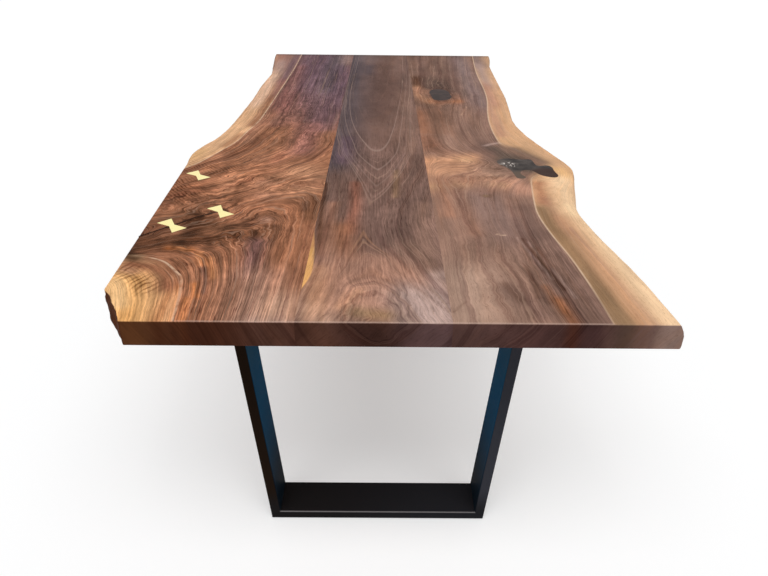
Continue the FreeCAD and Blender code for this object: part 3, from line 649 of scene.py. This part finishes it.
# %% The strokes of the left slab
LEFT_HEART = [
    (180, "plum", 0.95, -280, 1300, -270, 620), (80, "mauve", 0.85, -230, 520, -215, 80),
    (50, "plum", 0.6, -380, 1300, -370, 850), (55, "dusk", 0.8, -220, 1150, -215, 500),
    (45, "plum", 0.75, -180, 900, -170, 250), (50, "mauve", 0.7, -190, 150, -190, -100),
    (60, "rose", 0.75, -250, -80, -240, -320), (30, "rose", 0.6, -385, 900, -380, 300),
    # The first, ash stroke below paints a pale sheen at the far end.
    (30, "ash", 0.5, -175, 1290, -170, 1080), (40, "rose", 0.8, -365, 320, -370, -50),
    (26, "copper", 0.6, -395, 60, -400, -100), (30, "copper", 0.5, -165, -140, -170, -440),
    (32, "copper", 0.8, -420, -60, -430, -300), (60, "copper", 0.7, -350, -120, -330, -300),
    (26, "tan", 0.6, -415, 60, -425, -240), (24, "tan", 0.4, -360, 30, -362, -30),
    (30, "tan", 0.6, -484, -380, -470, -420), (30, "tan", 0.6, -362, -400),
    (24, "wine", 0.5, -300, -370, -300, -430), (40, "copper", 0.8, -360, -360, -400, -430),
    (34, "copper", 0.85, -480, -390, -500, -540), (22, "apricot", 0.45, -406, -580, -398, -650),
    (34, "tan", 0.7, -300, -600, -290, -680), (6, "umber", 0.6, -361, -573, -371, -625, -367, -690),
    (6, "umber", 0.7, -349, -725, -358, -764), (6, "peat", 0.8, -275, -660, -241, -630, -206, -608),
    (18, "peat", 0.8, -355, -541, -290, -570), (12, "umber", 0.5, -534, -652, -470, -560, -407, -462),
    (12, "umber", 0.5, -500, -740, -450, -660, -440, -620), (9, "cocoa", 0.6, -182, -700, -178, -775),
    (70, "apricot", 0.65, -210, -520, -170, -560, -200, -620),
    (45, "copper", 0.7, -290, -640, -230, -600), (42, "copper", 0.7, -430, -660, -390, -530),
    (35, "brick", 0.6, -480, -640, -500, -700), (45, "peat", 0.7, -440, -790, -490, -850),
    (24, "peat", 0.8, -165, -700, -158, -830), (42, "peat", 0.8, -410, -870, -350, -895),
    (24, "umber", 0.85, -425, -830, -410, -940), (16, "blush", 0.7, -265, -838),
    (32, "umber", 0.85, -530, -950, -450, -960, -380, -945, -310, -925),
    (22, "brick", 0.7, -505, -880, -480, -905), (20, "pitch", 0.4, -444, -850, -428, -900, -434, -955),
    (3.5, "pitch", 0.9, -523, -932, -470, -872, -430, -836, -400, -806),
    (14, "umber", 0.6, -285, -900, -275, -935), (20, "soot", 0.6, -515, -985, -460, -985, -420, -975),
    (24, "pitch", 0.9, -525, -1015, -497, -1030), (12, "rust", 0.9, -445, -990, -398, -996),
    (8, "ember", 0.8, -425, -986, -408, -1000),
    (10, "ember", 1.0, -376, -1012, -368, -1036, -357, -1058),
    (9, "ember", 0.9, -350, -1034, -342, -1056, -331, -1085, -323, -1115),
    (9, "rust", 0.9, -352, -1140, -338, -1185), (9, "rust", 0.8, -352, -1195, -338, -1290),
    (6, "cocoa", 0.7, -353, -1076, -337, -1117, -328, -1172),
    (8, "umber", 0.45, -420, -1030, -388, -1062), (24, "mauve", 0.6, -265, -960, -255, -1100),
    # The last three strokes: partly the wood's own pale tone, partly a painted sheen at the near end.
    (52, "blush", 0.9, -235, -1120, -225, -1290), (50, "shell", 0.7, -180, -1215, -185, -1290),
    (30, "ash", 0.6, -210, -1280, -150, -1290),
]
# The pale line that bounds the lobe at the near corner.
SHELL_LINE = [(-473, -1032), (-450, -1042), (-430, -1056), (-403, -1088), (-385, -1113),
              (-376, -1146), (-369, -1179), (-363, -1220), (-355, -1290)]
LEFT_SAP = [
    (70, "rose", 0.85, -510, 1300, -480, 1060), (50, "ash", 0.7, -485, 1000, -480, 860),
    (30, "skin", 0.8, -480, 700, -478, 250), (34, "mauve", 0.95, -436, 1300, -428, 650),
    (26, "rose", 0.85, -430, 600, -426, 350), (22, "russet", 0.85, -430, 300, -436, -60),
    (16, "russet", 0.6, -450, -160, -478, -290), (30, "butter", 0.6, -545, -340, -550, -400),
    (64, "maize", 1.0, -490, -1140, -440, -1290),
    (22, "gold", 0.9, -505, -1135, -488, -1165, -470, -1215),
    (16, "rust", 0.7, -392, -1130, -382, -1300),
    (26, "brick", 0.95, -500, -1062, -450, -1074, -418, -1102, -402, -1150),
    (15, "brick", 0.9, *SHELL_LINE[:6]), (9, "rust", 0.7, *SHELL_LINE[5:]),
    (14, "tan", 0.6, -505, -1085, -485, -1095), (9, "moss", 0.5, -475, -1115, -445, -1148),
    (5, "moss", 0.45, -462, -1150, -448, -1180), (14, "pitch", 0.85, -525, -1026, -500, -1040),
]
print("strokes on the left slab:", len(LEFT_HEART + LEFT_SAP))

# %% The strokes of the straight board
CENTRE_HEART = [
    (95, "cocoa", 0.7, 0, 1100, 0, 250), (70, "dusk", 0.9, -130, 1300, -120, 600, -125, 0, -140, -450),
    (34, "slate", 0.7, -130, 1300, -125, 700), (50, "mist", 0.5, -60, 1250, -60, 1160),
    (30, "slate", 0.7, -60, 950, -60, 850), (44, "taupe", 0.8, 90, 1290, 90, 900),
    (40, "fawn", 0.35, 95, 400, 85, -300), (28, "plum", 0.6, -110, -200, -110, -420),
    (18, "wine", 0.75, -66, -600, -60, -760, -70, -900), (36, "russet", 0.8, -90, -880, -75, -1020),
    (9, "olive", 0.5, 45, -500, 38, -690),
    (9, "umber", 0.85, -147, -600, -144, -700, -137, -850, -129, -960, -128, -1010),
    (30, "fawn", 0.6, 110, -750, 100, -1000), (16, "tan", 0.6, -115, -740, -118, -1010),
    (60, "blush", 0.9, -90, -1060, -60, -1180), (26, "apricot", 0.7, -125, -1080, -118, -1230),
    (46, "blush", 0.85, 10, -1050, -10, -1200), (34, "fawn", 0.8, 60, -980, 100, -1080),
    # The two fog strokes below paint a pale grey sheen at the near end.
    (34, "blush", 0.8, 50, -1085, 105, -1140), (46, "fog", 0.75, 60, -1180, 90, -1290),
    (24, "fog", 0.6, 115, -1100, 110, -1290), (4, "umber", 0.35, 66, -1140, 100, -1190, 124, -1232),
    (3, "umber", 0.3, 78, -1120, 106, -1170, 124, -1205), (16, "apricot", 0.5, -40, -1165, -70, -1215),
    (22, "olive", 0.8, -40, -1235, 10, -1245), (34, "shell", 0.6, -125, -1230, -90, -1290),
]
CENTRE_SAP = [
    (14, "copper", 0.6, -146, -870, -138, -970), (14, "maize", 0.9, -137, -1040, -148, -1180),
]
print("strokes on the straight board:", len(CENTRE_HEART + CENTRE_SAP))

# %% The strokes of the right slab
RIGHT_HEART = [
    (135, "cocoa", 0.65, 220, 1300, 220, 420), (50, "mist", 0.85, 390, 1300, 380, 280),
    (70, "taupe", 0.5, 200, 1300, 200, 1120), (26, "umber", 0.9, 155, 700, 150, 560),
    (40, "peat", 0.45, 205, 280, 205, -120), (70, "taupe", 0.5, 330, 200, 310, -180),
    (40, "fawn", 0.85, 262, 270, 300, 120),
    (20, "apricot", 0.7, 150, 500, 150, 400, 175, 315, 225, 292), (22, "tan", 0.7, 290, 310, 300, 360),
    (22, "tan", 0.8, 150, 470, 190, 440), (11, "copper", 0.9, 185, 298, 240, 286, 310, 300),
    (44, "smoke", 0.6, 238, 530, 240, 560), (40, "cocoa", 0.9, 238, 490, 238, 340),
    (30, "russet", 0.6, 145, 100, 150, -120), (36, "brick", 0.6, 150, -180, 160, -260),
    (36, "brick", 0.4, 150, -300, 190, -330), (46, "taupe", 0.7, 330, -250, 300, -330),
    (24, "taupe", 0.6, 370, -150, 375, -240), (48, "apricot", 0.95, 135, -420, 200, -410, 270, -385),
    (60, "apricot", 0.8, 150, -500, 220, -490), (54, "apricot", 0.7, 140, -610, 200, -600, 300, -580),
    (40, "blush", 1.0, 290, -600, 350, -590, 370, -640), (26, "honey", 0.6, 250, -400),
    (24, "shell", 0.45, 300, -480, 330, -520), (26, "honey", 0.4, 140, -620, 320, -600),
    (22, "tan", 0.8, 170, -560, 165, -800), (22, "tan", 0.5, 200, -640, 215, -900),
    (30, "tan", 0.6, 240, -560, 270, -640), (14, "tan", 0.4, 330, -700, 325, -800),
    (30, "fawn", 0.5, 240, -530, 290, -500, 340, -505),
    (38, "smoke", 0.8, 348, -290, 362, -340, 400, -385), (30, "taupe", 0.5, 300, -300, 330, -250),
    (40, "smoke", 0.9, 360, -400, 400, -470, 480, -500), (26, "taupe", 0.7, 330, -330, 310, -400),
    (70, "mist", 0.45, 250, -650, 300, -900), (34, "taupe", 0.7, 350, -760, 345, -900),
    (26, "taupe", 0.9, 320, -940, 340, -1080, 350, -1260), (9, "peat", 0.6, 330, -980, 345, -1060),
    (10, "cocoa", 0.5, 300, -1080, 310, -1200), (70, "sand", 1.0, 175, -1110, 165, -1290),
    (26, "taupe", 0.7, 250, -1150, 290, -1240), (14, "rust", 0.55, 332, -1190, 342, -1290),
    (9, "rust", 0.35, 318, -1140, 332, -1230), (24, "taupe", 0.7, 380, -900, 385, -1100, 398, -1290),
    (3, "shell", 0.35, 322, 214, 290, 97), (3.5, "ash", 0.55, 305, -925, 320, -1010, 340, -1110),
    (3.5, "ash", 0.5, 322, -945, 343, -1050, 366, -1180),
    (5, "umber", 0.55, 313, -930, 330, -1030, 352, -1150),
    (6, "umber", 0.45, 296, -1060, 300, -1130, 296, -1180),
    (9, "umber", 0.35, 242, -1130, 250, -1160, 262, -1190), (2.5, "skin", 0.6, 262, -908, 280, -914),
    (3, "umber", 0.3, 134, -1232, 160, -1196), (7, "umber", 0.35, 258, -676, 276, -690, 282, -674),
    (7, "olive", 0.8, 269, -680), (7, "ash", 1.0, 326, -263, 347, -246, 373, -233, 391, -238),
    (6, "ash", 0.7, 394, -246, 404, -280, 422, -312),
]
RIGHT_SAP = [
    (50, "mist", 0.9, 490, 1300, 475, 1050), (30, "ash", 0.85, 470, 1000, 455, 600),
    (32, "blush", 0.9, 442, 550, 432, 280), (24, "blush", 0.7, 405, 200, 395, -150),
    (34, "smoke", 0.85, 410, -300, 440, -360, 466, -415), (24, "copper", 0.85, 425, -590, 410, -720),
    # The cream stroke below is a painted highlight on the rounded live edge.
    (22, "tan", 0.6, 420, -700, 418, -900), (12, "cream", 1.0, 466, -735, 463, -795),
    (26, "butter", 0.8, 505, -480, 510, -540),
    (25, "olive", 0.95, 390, -760, 392, -860, 402, -900, 417, -1050, 430, -1290),
    (16, "honey", 0.6, 440, -620, 445, -850, 480, -1000, 510, -1290),
    (26, "copper", 0.5, 440, -820, 470, -1290), (24, "olive", 0.7, 418, -1160, 432, -1290),
    (4, "tan", 0.8, 436, -870, 462, -1080, 483, -1290),
    (34, "peach", 0.85, 490, -560, 472, -750, 490, -950, 518, -1290),
]
print("strokes on the right slab:", len(RIGHT_HEART + RIGHT_SAP))

# %% [markdown]
# ## Where the figure runs wild
#
# Near knots and forks the grain swirls, by the saw cut fine lines cross it, and in places the
# streaks stand out more. One number for a whole board would miss that, so strengths are dabbed
# on like the colours.

# %% The dabs of each board
# How far the streaks stand out on the plain wood of each board.
PLAIN_BITE = {"left": 0.42, "centre": 0.42, "right": 0.32}
DABS = {
    "left": {
        "wild": [(110, 0.4, -400, -520, -300, -600, -220, -640),
                 (100, 0.65, -480, -700, -400, -780, -300, -860),
                 (60, 0.8, -510, -980, -400, -960, -320, -930), (90, 0.35, -300, 100, -250, -250)],
        "hatch": [(60, 0.9, -540, -480, -440, -500), (50, 1.2, -540, -600, -490, -700),
                  (40, 0.5, -400, -150, -450, -350), (28, 1.2, -505, -1085, -440, -1150)],
        "shell": [(30, 0.3, *SHELL_LINE), (24, 1.0, -381, -1120, -374, -1185, -384, -1290)],
        "bite": [(300, 0.8, -300, 300, -300, -300), (240, 1.1, -350, -400, -350, -780),
                 (200, 1.25, -350, -880, -350, -1290), (40, 0.3, -480, 700, -470, -200)],
        "blur": [(18, 1.0, -545, -1035, -490, -1035)],
    },
    "centre": {
        "wild": [(70, 0.3, -30, -1180, 0, -1260)],
        "bite": [(260, 0.45, 0, -500, 0, -800), (200, 0.28, 0, -950, 0, -1250)],
    },
    "right": {
        "wild": [(40, 0.8, 435, -560, 425, -720), (80, 0.18, 200, -930, 210, -1290),
                 (55, 0.8, 290, -505, 370, -525), (80, 0.4, 238, 400)],
        "bite": [(300, 0.03, 250, -560, 250, -1290), (130, 0.4, 238, 400),
                 (120, 0.4, 150, -300, 290, -520), (60, 0.7, 340, -1000, 340, -1200)],
        "blur": [(75, 1.0, 400, -300, 450, -400, 450, -500)],
    },
}
print("dabs on the left slab:", list(DABS["left"]))

# %% [markdown]
# ## The sapwood
#
# The youngest wood, under the bark, stays pale. Its edge could be one of the growth lines, but
# in walnut it wanders, so it is traced on its own. Each mesh point keeps how deep it lies in
# the sapwood, as a number below zero where the wood is heart.

# %% Trace the edge of the sapwood
SAP_LINES = {
    "left": [
        [(-560, -515), (-546, -490), (-520, -447), (-485, -347), (-454, -247), (-441, -147),
         (-425, -20), (-420, 100), (-414, 600), (-412, 900), (-418, 1300)],
        [*SHELL_LINE[::-1], (-500, -1026), (-540, -1026)],
    ],
    "centre": [[(-150, -875), (-141, -950), (-134, -1050), (-136, -1110), (-152, -1175)]],
    "right": [
        [(411, -1300), (409, -1263), (407, -1158), (399, -1026), (384, -900), (378, -795),
         (386, -710), (399, -621), (414, -547), (450, -500), (470, -430), (440, -360), (405, -300),
         (388, -264), (376, -224), (373, -114), (378, 8), (392, 142), (416, 324), (429, 509),
         (441, 859), (476, 1300)],
    ],
}


def sap_depth(places, lines, outward):
    """How far inside the sapwood a place is, from the nearest boundary line."""
    best = np.full(len(places), 9.0)
    signed = np.full(len(places), -9.0)
    for points in lines:
        gap, side = away_from(places, flowing(points, 6))
        nearer = gap < best
        best = np.where(nearer, gap, best)
        signed = np.where(nearer, gap * side * outward, signed)
    return signed


print("sapwood lines:", sum(map(len, SAP_LINES.values())))

# %% [markdown]
# ## Put it on the boards
#
# A picture could be wrapped round the boards, but it would be stretched over the edges. Here
# every mesh point keeps its age, colours and strengths as named attributes. The finish reads
# them and blends from point to point.

# %% Store the figure on the boards
END_DEPTH = 0.6


def store(piece, name, values):
    """Keep one value or one colour for each mesh point under a name."""
    kind, field = ("FLOAT", "value") if np.ndim(values) == 1 else ("FLOAT_COLOR", "color")
    layer = piece.data.attributes.new(name, kind, "POINT")
    layer.data.foreach_set(field, np.ascontiguousarray(values, dtype=np.float32).ravel())


# For each board: its age and fibre lines, heart and sap colours, and the sapwood's side.
recipes = {
    "left": (left_age, left_age, "russet", LEFT_HEART, "honey", LEFT_SAP, 1),
    "centre": (None, centre_grain, "taupe", CENTRE_HEART, "amber", CENTRE_SAP, -1),
    "right": (right_age, right_age, "fawn", RIGHT_HEART, "honey", RIGHT_SAP, -1),
}
for key, (piece, places, across, ring) in boards.items():
    age_at, grain_at, heart, heart_strokes, sap, sap_strokes, outward = recipes[key]
    spots, depth = places[:, :2], TOP_FACE - places[:, 2]
    age = age_at(spots) + depth * END_DEPTH if age_at else centre_age(spots, depth)
    straight, left = float(key == "centre"), key == "left"
    still = np.clip((0.118 - age) / 0.012, 0, 1) * np.clip((spots[:, 1] + 0.45) / 0.1, 0, 1)
    to_end = HALF_LENGTH - np.abs(places[:, 1])
    at_end = (to_end < ARRIS / 2) & (ring > 0)
    rim_row = (to_end < ARRIS * 1.5) & (ring == 0)
    barked = [left_bark(y) if left and a > 0.999 and r > 0 else 0.0
              for y, a, r in zip(places[:, 1], across, ring)]
    dabs = {name: dabbed(spots, DABS[key].get(name, []))
            for name in ("wild", "hatch", "shell", "bite", "blur")}
    figure = {
        "age": age,
        "grain": grain_at(spots) + depth * END_DEPTH,
        "still": still * straight,
        "loops": np.full(len(spots), straight),
        # Painted highlight along the top arris of the ends, fainter to the left.
        "painted_arris_highlight": rim_row * np.clip((spots[:, 0] + 0.42) / 0.1, 0.15, 1),
        "heart": brushed(spots, heart, heart_strokes),
        "sap": brushed(spots, sap, sap_strokes),
        "sap_depth": sap_depth(spots, SAP_LINES[key], outward),
        "end_grain": at_end.astype(float),
        "bark": np.minimum(1.0, np.array(barked) * 2),
        **dabs,
        "bite": PLAIN_BITE[key] + dabs["bite"],
        "blur": np.where(at_end, 1.0, dabs["blur"]),
    }
    for name, values in figure.items():
        store(piece, name, values)
    print(key, "figure stored on", len(places), "points")

# %% [markdown]
# ## The walnut finish
#
# The finish turns those stored values into wood. Stretching a noise along one axis would give
# straight grain only. Here the stored age is one axis of the noise, finely divided, and the
# plain place is the other two, coarsely divided. So each streak follows its growth line round
# every bend, on the top, the end grain and the underside alike.

# %% Read the stored figure
walnut, tree, shader, spot = new_finish("oiled walnut")


def stored(name, output="Fac"):
    """Read a value that is stored on the mesh."""
    return add("Attribute", {}, tree, output, attribute_name=name)


x, y, z = xyz(spot)
wild, shell, blur, end = stored("wild"), stored("shell"), stored("blur"), stored("end_grain")
bend = (cloud(spot, 9.0, 3.0) - 0.5) * (wild * 0.17 + 0.01)
bend = bend + (cloud(spot, 34.0, 2.0) - 0.5) * (wild * 0.03 + 0.0025)
age = stored("age") + bend
grain = stored("grain") + bend


def streaks(lane, across, along, detail=3.0, shift=0.0):
    """A noise drawn out along the growth lines: divisions per metre each way."""
    inputs = {0: lane * across, 1: x * along + shift, 2: z * along + y * along}
    return cloud(add("CombineXYZ", inputs), 1.0, detail)


print("reading nodes:", len(tree.nodes))

# %% Draw the streaks, lines and pores
still = stored("still") * -0.8 + 1.0
broad = ramp(streaks(age, 22, 1.5), 0.3, 0.7, 0.82, 1.17)
bands = ramp(streaks(age, 85, 3.0, 4.0, 3.0), 0.3, 0.7, 0.78, 1.2)
fine = ramp(streaks(grain, 300, 8.0, 4.0, 7.0), 0.3, 0.7, 0.7, 1.26)
hair = streaks(grain, 1100, 34.0, 3.0, 11.0)
hairs = ramp(hair, 0.3, 0.7, 0.8, 1.16)
flecks = ramp(streaks(grain, 210, 22.0, 2.0, 13.0), 0.56, 0.74)
pores = ramp(streaks(grain, 1500, 110.0, 1.0, 17.0), 0.6, 0.72)
lines = ramp(streaks(age, 60, 1.0, 2.0, 23.0), 0.56, 0.64) * still
thread = abs(streaks(age, 120, 0.8, 1.0, 29.0) - 0.56)
thread = ramp(thread, 0.004, 0.02, 1.0, 0.0) * still
mottle = ramp(streaks(grain, 16, 34.0, 2.0, 37.0), 0.3, 0.7, -0.4, 0.36)
mottle = mottle * (wild * 0.8 + 0.2) + 1.0

# The loops on the straight board: the age of each, and how pale it is.
LOOPS = [(0.121, 0.4), (0.136, 0.32), (0.149, 0.2), (0.157, 0.2), (0.16, 0.3)]
loop = 0.0
for year, bright in LOOPS:
    line = ramp(abs(stored("age") - year), 0.0002, 0.0013, bright, 0.0)
    loop = line.step("MAXIMUM", loop)
loop = loop * stored("loops") * (ramp(y, -1.04, -0.96) * 0.7 + 0.3)

slant = blend(ramp(y, -1.0, -0.98), y * -0.56 + x, x * 1.3 + y)
uneven = cloud(spot, 26.0, 3.0)
hatch = ramp((slant * 410.0 + uneven * 16.0).step("SINE"), -0.1, 0.7)
hatch = hatch * ramp(uneven, 0.36, 0.56, 0.35, 1.0) * stored("hatch")
print("nodes so far:", len(tree.nodes))

# %% Lay the tones over each other
soft = blur * 0.03 + 0.0025
sap_share = ramp(stored("sap_depth"), soft * -1.0, soft)
calm = sap_share * 0.35
bite = stored("bite") * (end * -0.6 + 1.0)
shade = (broad * bands * (fine * hairs) * mottle).step("POWER", bite * still)
patch = add("Mapping", {"Vector": spot, "Scale": (20, 7, 20)})
shade = shade * ramp(cloud(patch, 1.0, 4.0, 0.6), 0.3, 0.7, 0.86, 1.15)
shade = (1.0 - shade) * calm + shade
tone = blend(sap_share, stored("heart", "Color"), stored("sap", "Color"))
tone = add("VectorMath", {0: tone, "Scale": shade}, operation="SCALE")
for share, stain in (
    (ramp(streaks(age, 45, 2.5, 3.0, 31.0), 0.45, 0.75, 0.0, 0.5), (1.1, 1.0, 0.9, 1)),
    (hatch * 0.75, (0.4, 0.32, 0.26, 1)),
    (lines * (0.42 - calm), (0.42, 0.34, 0.36, 1)),
    (pores * 0.45, (0.35, 0.27, 0.22, 1)),
    (flecks * (0.6 - calm) * bite, (0.38, 0.3, 0.3, 1)),
):
    tone = blend(share, tone, stain, "MULTIPLY")
tone = blend(thread * 0.22, tone, "#c9a68f")
tone = blend(loop, tone, blend(ramp(y, -0.9, -0.6), "#c09070", "#b3978a"))
print("nodes so far:", len(tree.nodes))

# %% Draw the pale line at the edge of the sapwood
rim = abs(stored("sap_depth"))
rim = ramp(rim, shell * 0.0012 + 0.0006, shell * 0.001 + 0.0032, 0.72, 0.0)
broken = ramp(cloud(spot, 45.0, 3.0), 0.38, 0.56, 0.35, 1.0)
broken = broken.step("MAXIMUM", ramp(x, 0.2, 0.3, 0.0, 0.85))
rim = rim * (1.0 - blur) * broken * ramp(abs(x), 0.154, 0.158)
rim = rim * ramp(y - x, -1.62, -1.48, 0.4, 1.0)
tone = blend(rim, tone, blend(shell, "#e6c6a8", "#dcaa8a"))
# Painted highlight on the end arris.
tone = blend(stored("painted_arris_highlight") * (0.42 - calm), tone, "#d8bcae")
print("nodes so far:", len(tree.nodes))

# %% Tone the end grain and the bark
# The end faces are darkened: partly the end grain's own darker tone, partly painted shade.
rightward = ramp(x, -0.3, 0.5)
end_grain_and_shade_tint = blend(rightward, (0.19, 0.14, 0.13, 1), (0.27, 0.22, 0.27, 1))
end_grain_and_shade_tint = blend(sap_share * rightward, end_grain_and_shade_tint, (0.29, 0.28, 0.38, 1))
cut = blend(1.0, tone, end_grain_and_shade_tint, "MULTIPLY")
cut = blend(ramp(x, -0.5, -0.4, 0.5, 0.0), cut, "#5c3826")
cut = blend(ramp(x, -0.32, 0.0, 0.5, 0.0), cut, "#402318")
cut = blend(ramp(x, 0.52, 0.56, 0.0, 0.6), cut, "#a88878")
tone = blend(end, tone, cut)
bark_tone = blend(cloud(spot, 90.0, 4.0), "#2a140c", "#6a3c24")
tone = blend(stored("bark"), tone, bark_tone)
relief = add("Bump", {"Height": pores * -0.6 + hair, "Strength": 0.06, "Distance": 0.0006})
fill(shader, {"Base Color": tone, "Roughness": ramp(hair, 0.3, 0.7, 0.46, 0.56),
              "Specular IOR Level": 0.004, "Normal": relief})
for piece, *_ in boards.values():
    piece.data.materials.append(walnut)
print("walnut nodes:", len(tree.nodes))

# %% [markdown]
# ## Steel, brass and resin
#
# Powder coat on steel could be plain black, yet in a bright room its flat faces take up the
# colour of what they face. Here that is painted into the coat: the inner sides get a painted
# blue reflection, and the rounded edges between the top and the front or back faces get a
# painted pale highlight. The front stays brown black on the left and grey on the right. The
# finish reads which way a face looks, so one coat serves every bar. The brass is brushed and
# pale, and the resin in the knots is black with grey smoke in it and a few painted glints.


# %% Mix the metal and the resin
def finish_on(names, finish):
    """Give drawn pieces a finish."""
    for name in names:
        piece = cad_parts[name]
        for place in range(len(piece.data.materials)):
            piece.data.materials[place] = finish
        if not piece.data.materials:
            piece.data.materials.append(finish)


BARS = ("foot_bar", "left_upright", "right_upright", "leg_plate", "channel")
STEEL = [f"{end}_{bar}" for end in ("front", "rear") for bar in BARS] + ["middle_channel"]
steel, tree, shader, spot = new_finish("black powder coat")
x, y, z = xyz(spot)
way = xyz(add("TexCoord", {}, tree, "Normal"))
pitting = cloud(spot, 900.0, 2.0)
coat = blend(ramp(x, -0.2, 0.2), "#20150d", "#3a3b42")
coat = blend(ramp(z, 0.03, 0.12, 0.8, 0.0), coat, "#1d1d1f")
# Painted reflection: faces that look inward get a blue tint, dark near the floor, bluest at mid height
# and greyer higher up.
inward = way[0] * x.step("SIGN") * -1.0
painted_reflection = blend(ramp(z, 0.06, 0.4), "#111a22", "#06486a")
painted_reflection = blend(ramp(z, 0.4, 0.7), painted_reflection, "#264858")
coat = blend(ramp(inward, 0.6, 0.95), coat, painted_reflection)
# Painted highlight: a pale grey on the rounded edges that face up and to the front or back.
corner = way[2].step("MINIMUM", abs(way[1]))
coat = blend(ramp(corner, 0.2, 0.6, 0.0, 0.7), coat, "#8a8788")
pits = add("Bump", {"Height": pitting, "Strength": 0.05, "Distance": 0.0004})
fill(shader, {"Base Color": coat, "Roughness": ramp(pitting, 0.3, 0.7, 0.42, 0.52),
              "Specular IOR Level": 0.02, "Normal": pits})
finish_on(STEEL, steel)

brass, tree, shader, spot = new_finish("brushed brass")
brushing = add("Mapping", {"Vector": spot, "Scale": (60, 2200, 1)})
scratch = cloud(brushing, 1.0, 2.0)
gold = blend(ramp(scratch, 0.3, 0.7), "#fbe99a", "#fff6b4")
fill(shader, {"Base Color": gold, "Metallic": 1.0,
              "Roughness": ramp(scratch, 0.3, 0.7, 0.24, 0.36)})
finish_on(["bow_tie_front", "bow_tie_middle", "bow_tie_rear"], brass)
print("steel pieces:", len(STEEL))

# %% Mix the resin
resin, tree, shader, spot = new_finish("smoky resin")


def patch_at(across, along, inner, outer, strength):
    """A soft round patch on the face of the resin."""
    centre = (across, along, TOP_FACE)
    gap = add("VectorMath", {0: spot, 1: centre}, output="Value", operation="DISTANCE")
    return ramp(gap, inner, outer, strength, 0.0)


x, y, z = xyz(spot)
smoke = ramp(cloud(spot, 30.0, 4.0), 0.36, 0.66)
# Speckle for the painted glints on the near knot.
painted_glint = ramp(cloud(spot, 150.0, 3.0), 0.56, 0.62)
black = blend(smoke, "#383230", "#544c48")
for share, shade in (
    (ramp(x, 0.345, 0.385, 0.7, 0.0), "#625650"),
    (patch_at(0.462, -0.512, 0.03, 0.06, 0.85), "#3e2820"),
    (patch_at(0.39, -0.528, 0.02, 0.05, 0.9), "#66564a"),
    (ramp(y, 0.1, 0.2), blend(smoke, "#2a1b16", "#3d2a25")),
    # Painted glints: pale specks of reflection on the left part of the near knot.
    (patch_at(0.368, -0.438, 0.012, 0.034, 0.9) * painted_glint, "#d8cdc4"),
):
    black = blend(share, black, shade)
fill(shader, {"Base Color": black, "Roughness": 0.3, "Specular IOR Level": 0.01})
finish_on(["near_knot_fill", "far_knot_fill"], resin)
print("nodes of the resin:", len(tree.nodes))


# %% Mix the plain finishes
def plain_finish(name, low, high, size, names, **values):
    """A simple finish: two tones in a soft cloud."""
    finish, tree, shader, spot = new_finish(name)
    mix = ramp(cloud(spot, size, 2.0), 0.3, 0.7)
    fill(shader, {"Base Color": blend(mix, low, high)})
    fill(shader, {key.replace("_", " "): value for key, value in values.items()})
    finish_on(names, finish)


def both(*parts):
    """The names of parts that the front leg and the rear leg have alike."""
    return [f"{end}_leg_{part}" for end in ("front", "rear") for part in parts]


plain_finish("crack filler", "#150b07", "#241410", 300.0, ["crack_fill"],
             Roughness=0.5, Specular_IOR_Level=0.01)
plain_finish("black oxide", "#3c3d40", "#56575a", 220.0,
             both("bolts", "washers") + ["channel_bolts", "channel_washers"],
             Metallic=0.9, Roughness=0.36)
plain_finish("bare insert steel", "#6f6a60", "#8d8778", 180.0,
             both("inserts") + ["channel_inserts"], Metallic=0.8, Roughness=0.45)
plain_finish("beech", "#b98f68", "#cda57c", 90.0, ["left_seam_tenons", "right_seam_tenons"],
             Roughness=0.7)
plain_finish("black rubber", "#17171a", "#222226", 300.0, both("glides"),
             Roughness=0.8, Specular_IOR_Level=0.2)
print("finished pieces:", len(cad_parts))

# %% [markdown]
# ## The size
#
# The dressed table has to be as large as the drawn one. A look at a render can't tell that, so
# both boxes are printed.

# %% Print both boxes and finish
boxes = {"drawn": drawn_box, "dressed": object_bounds()}
plain = {key: [[float(v) for v in corner] for corner in box] for key, box in boxes.items()}
for key, box in plain.items():
    print(key, [[round(v, 4) for v in corner] for corner in box])
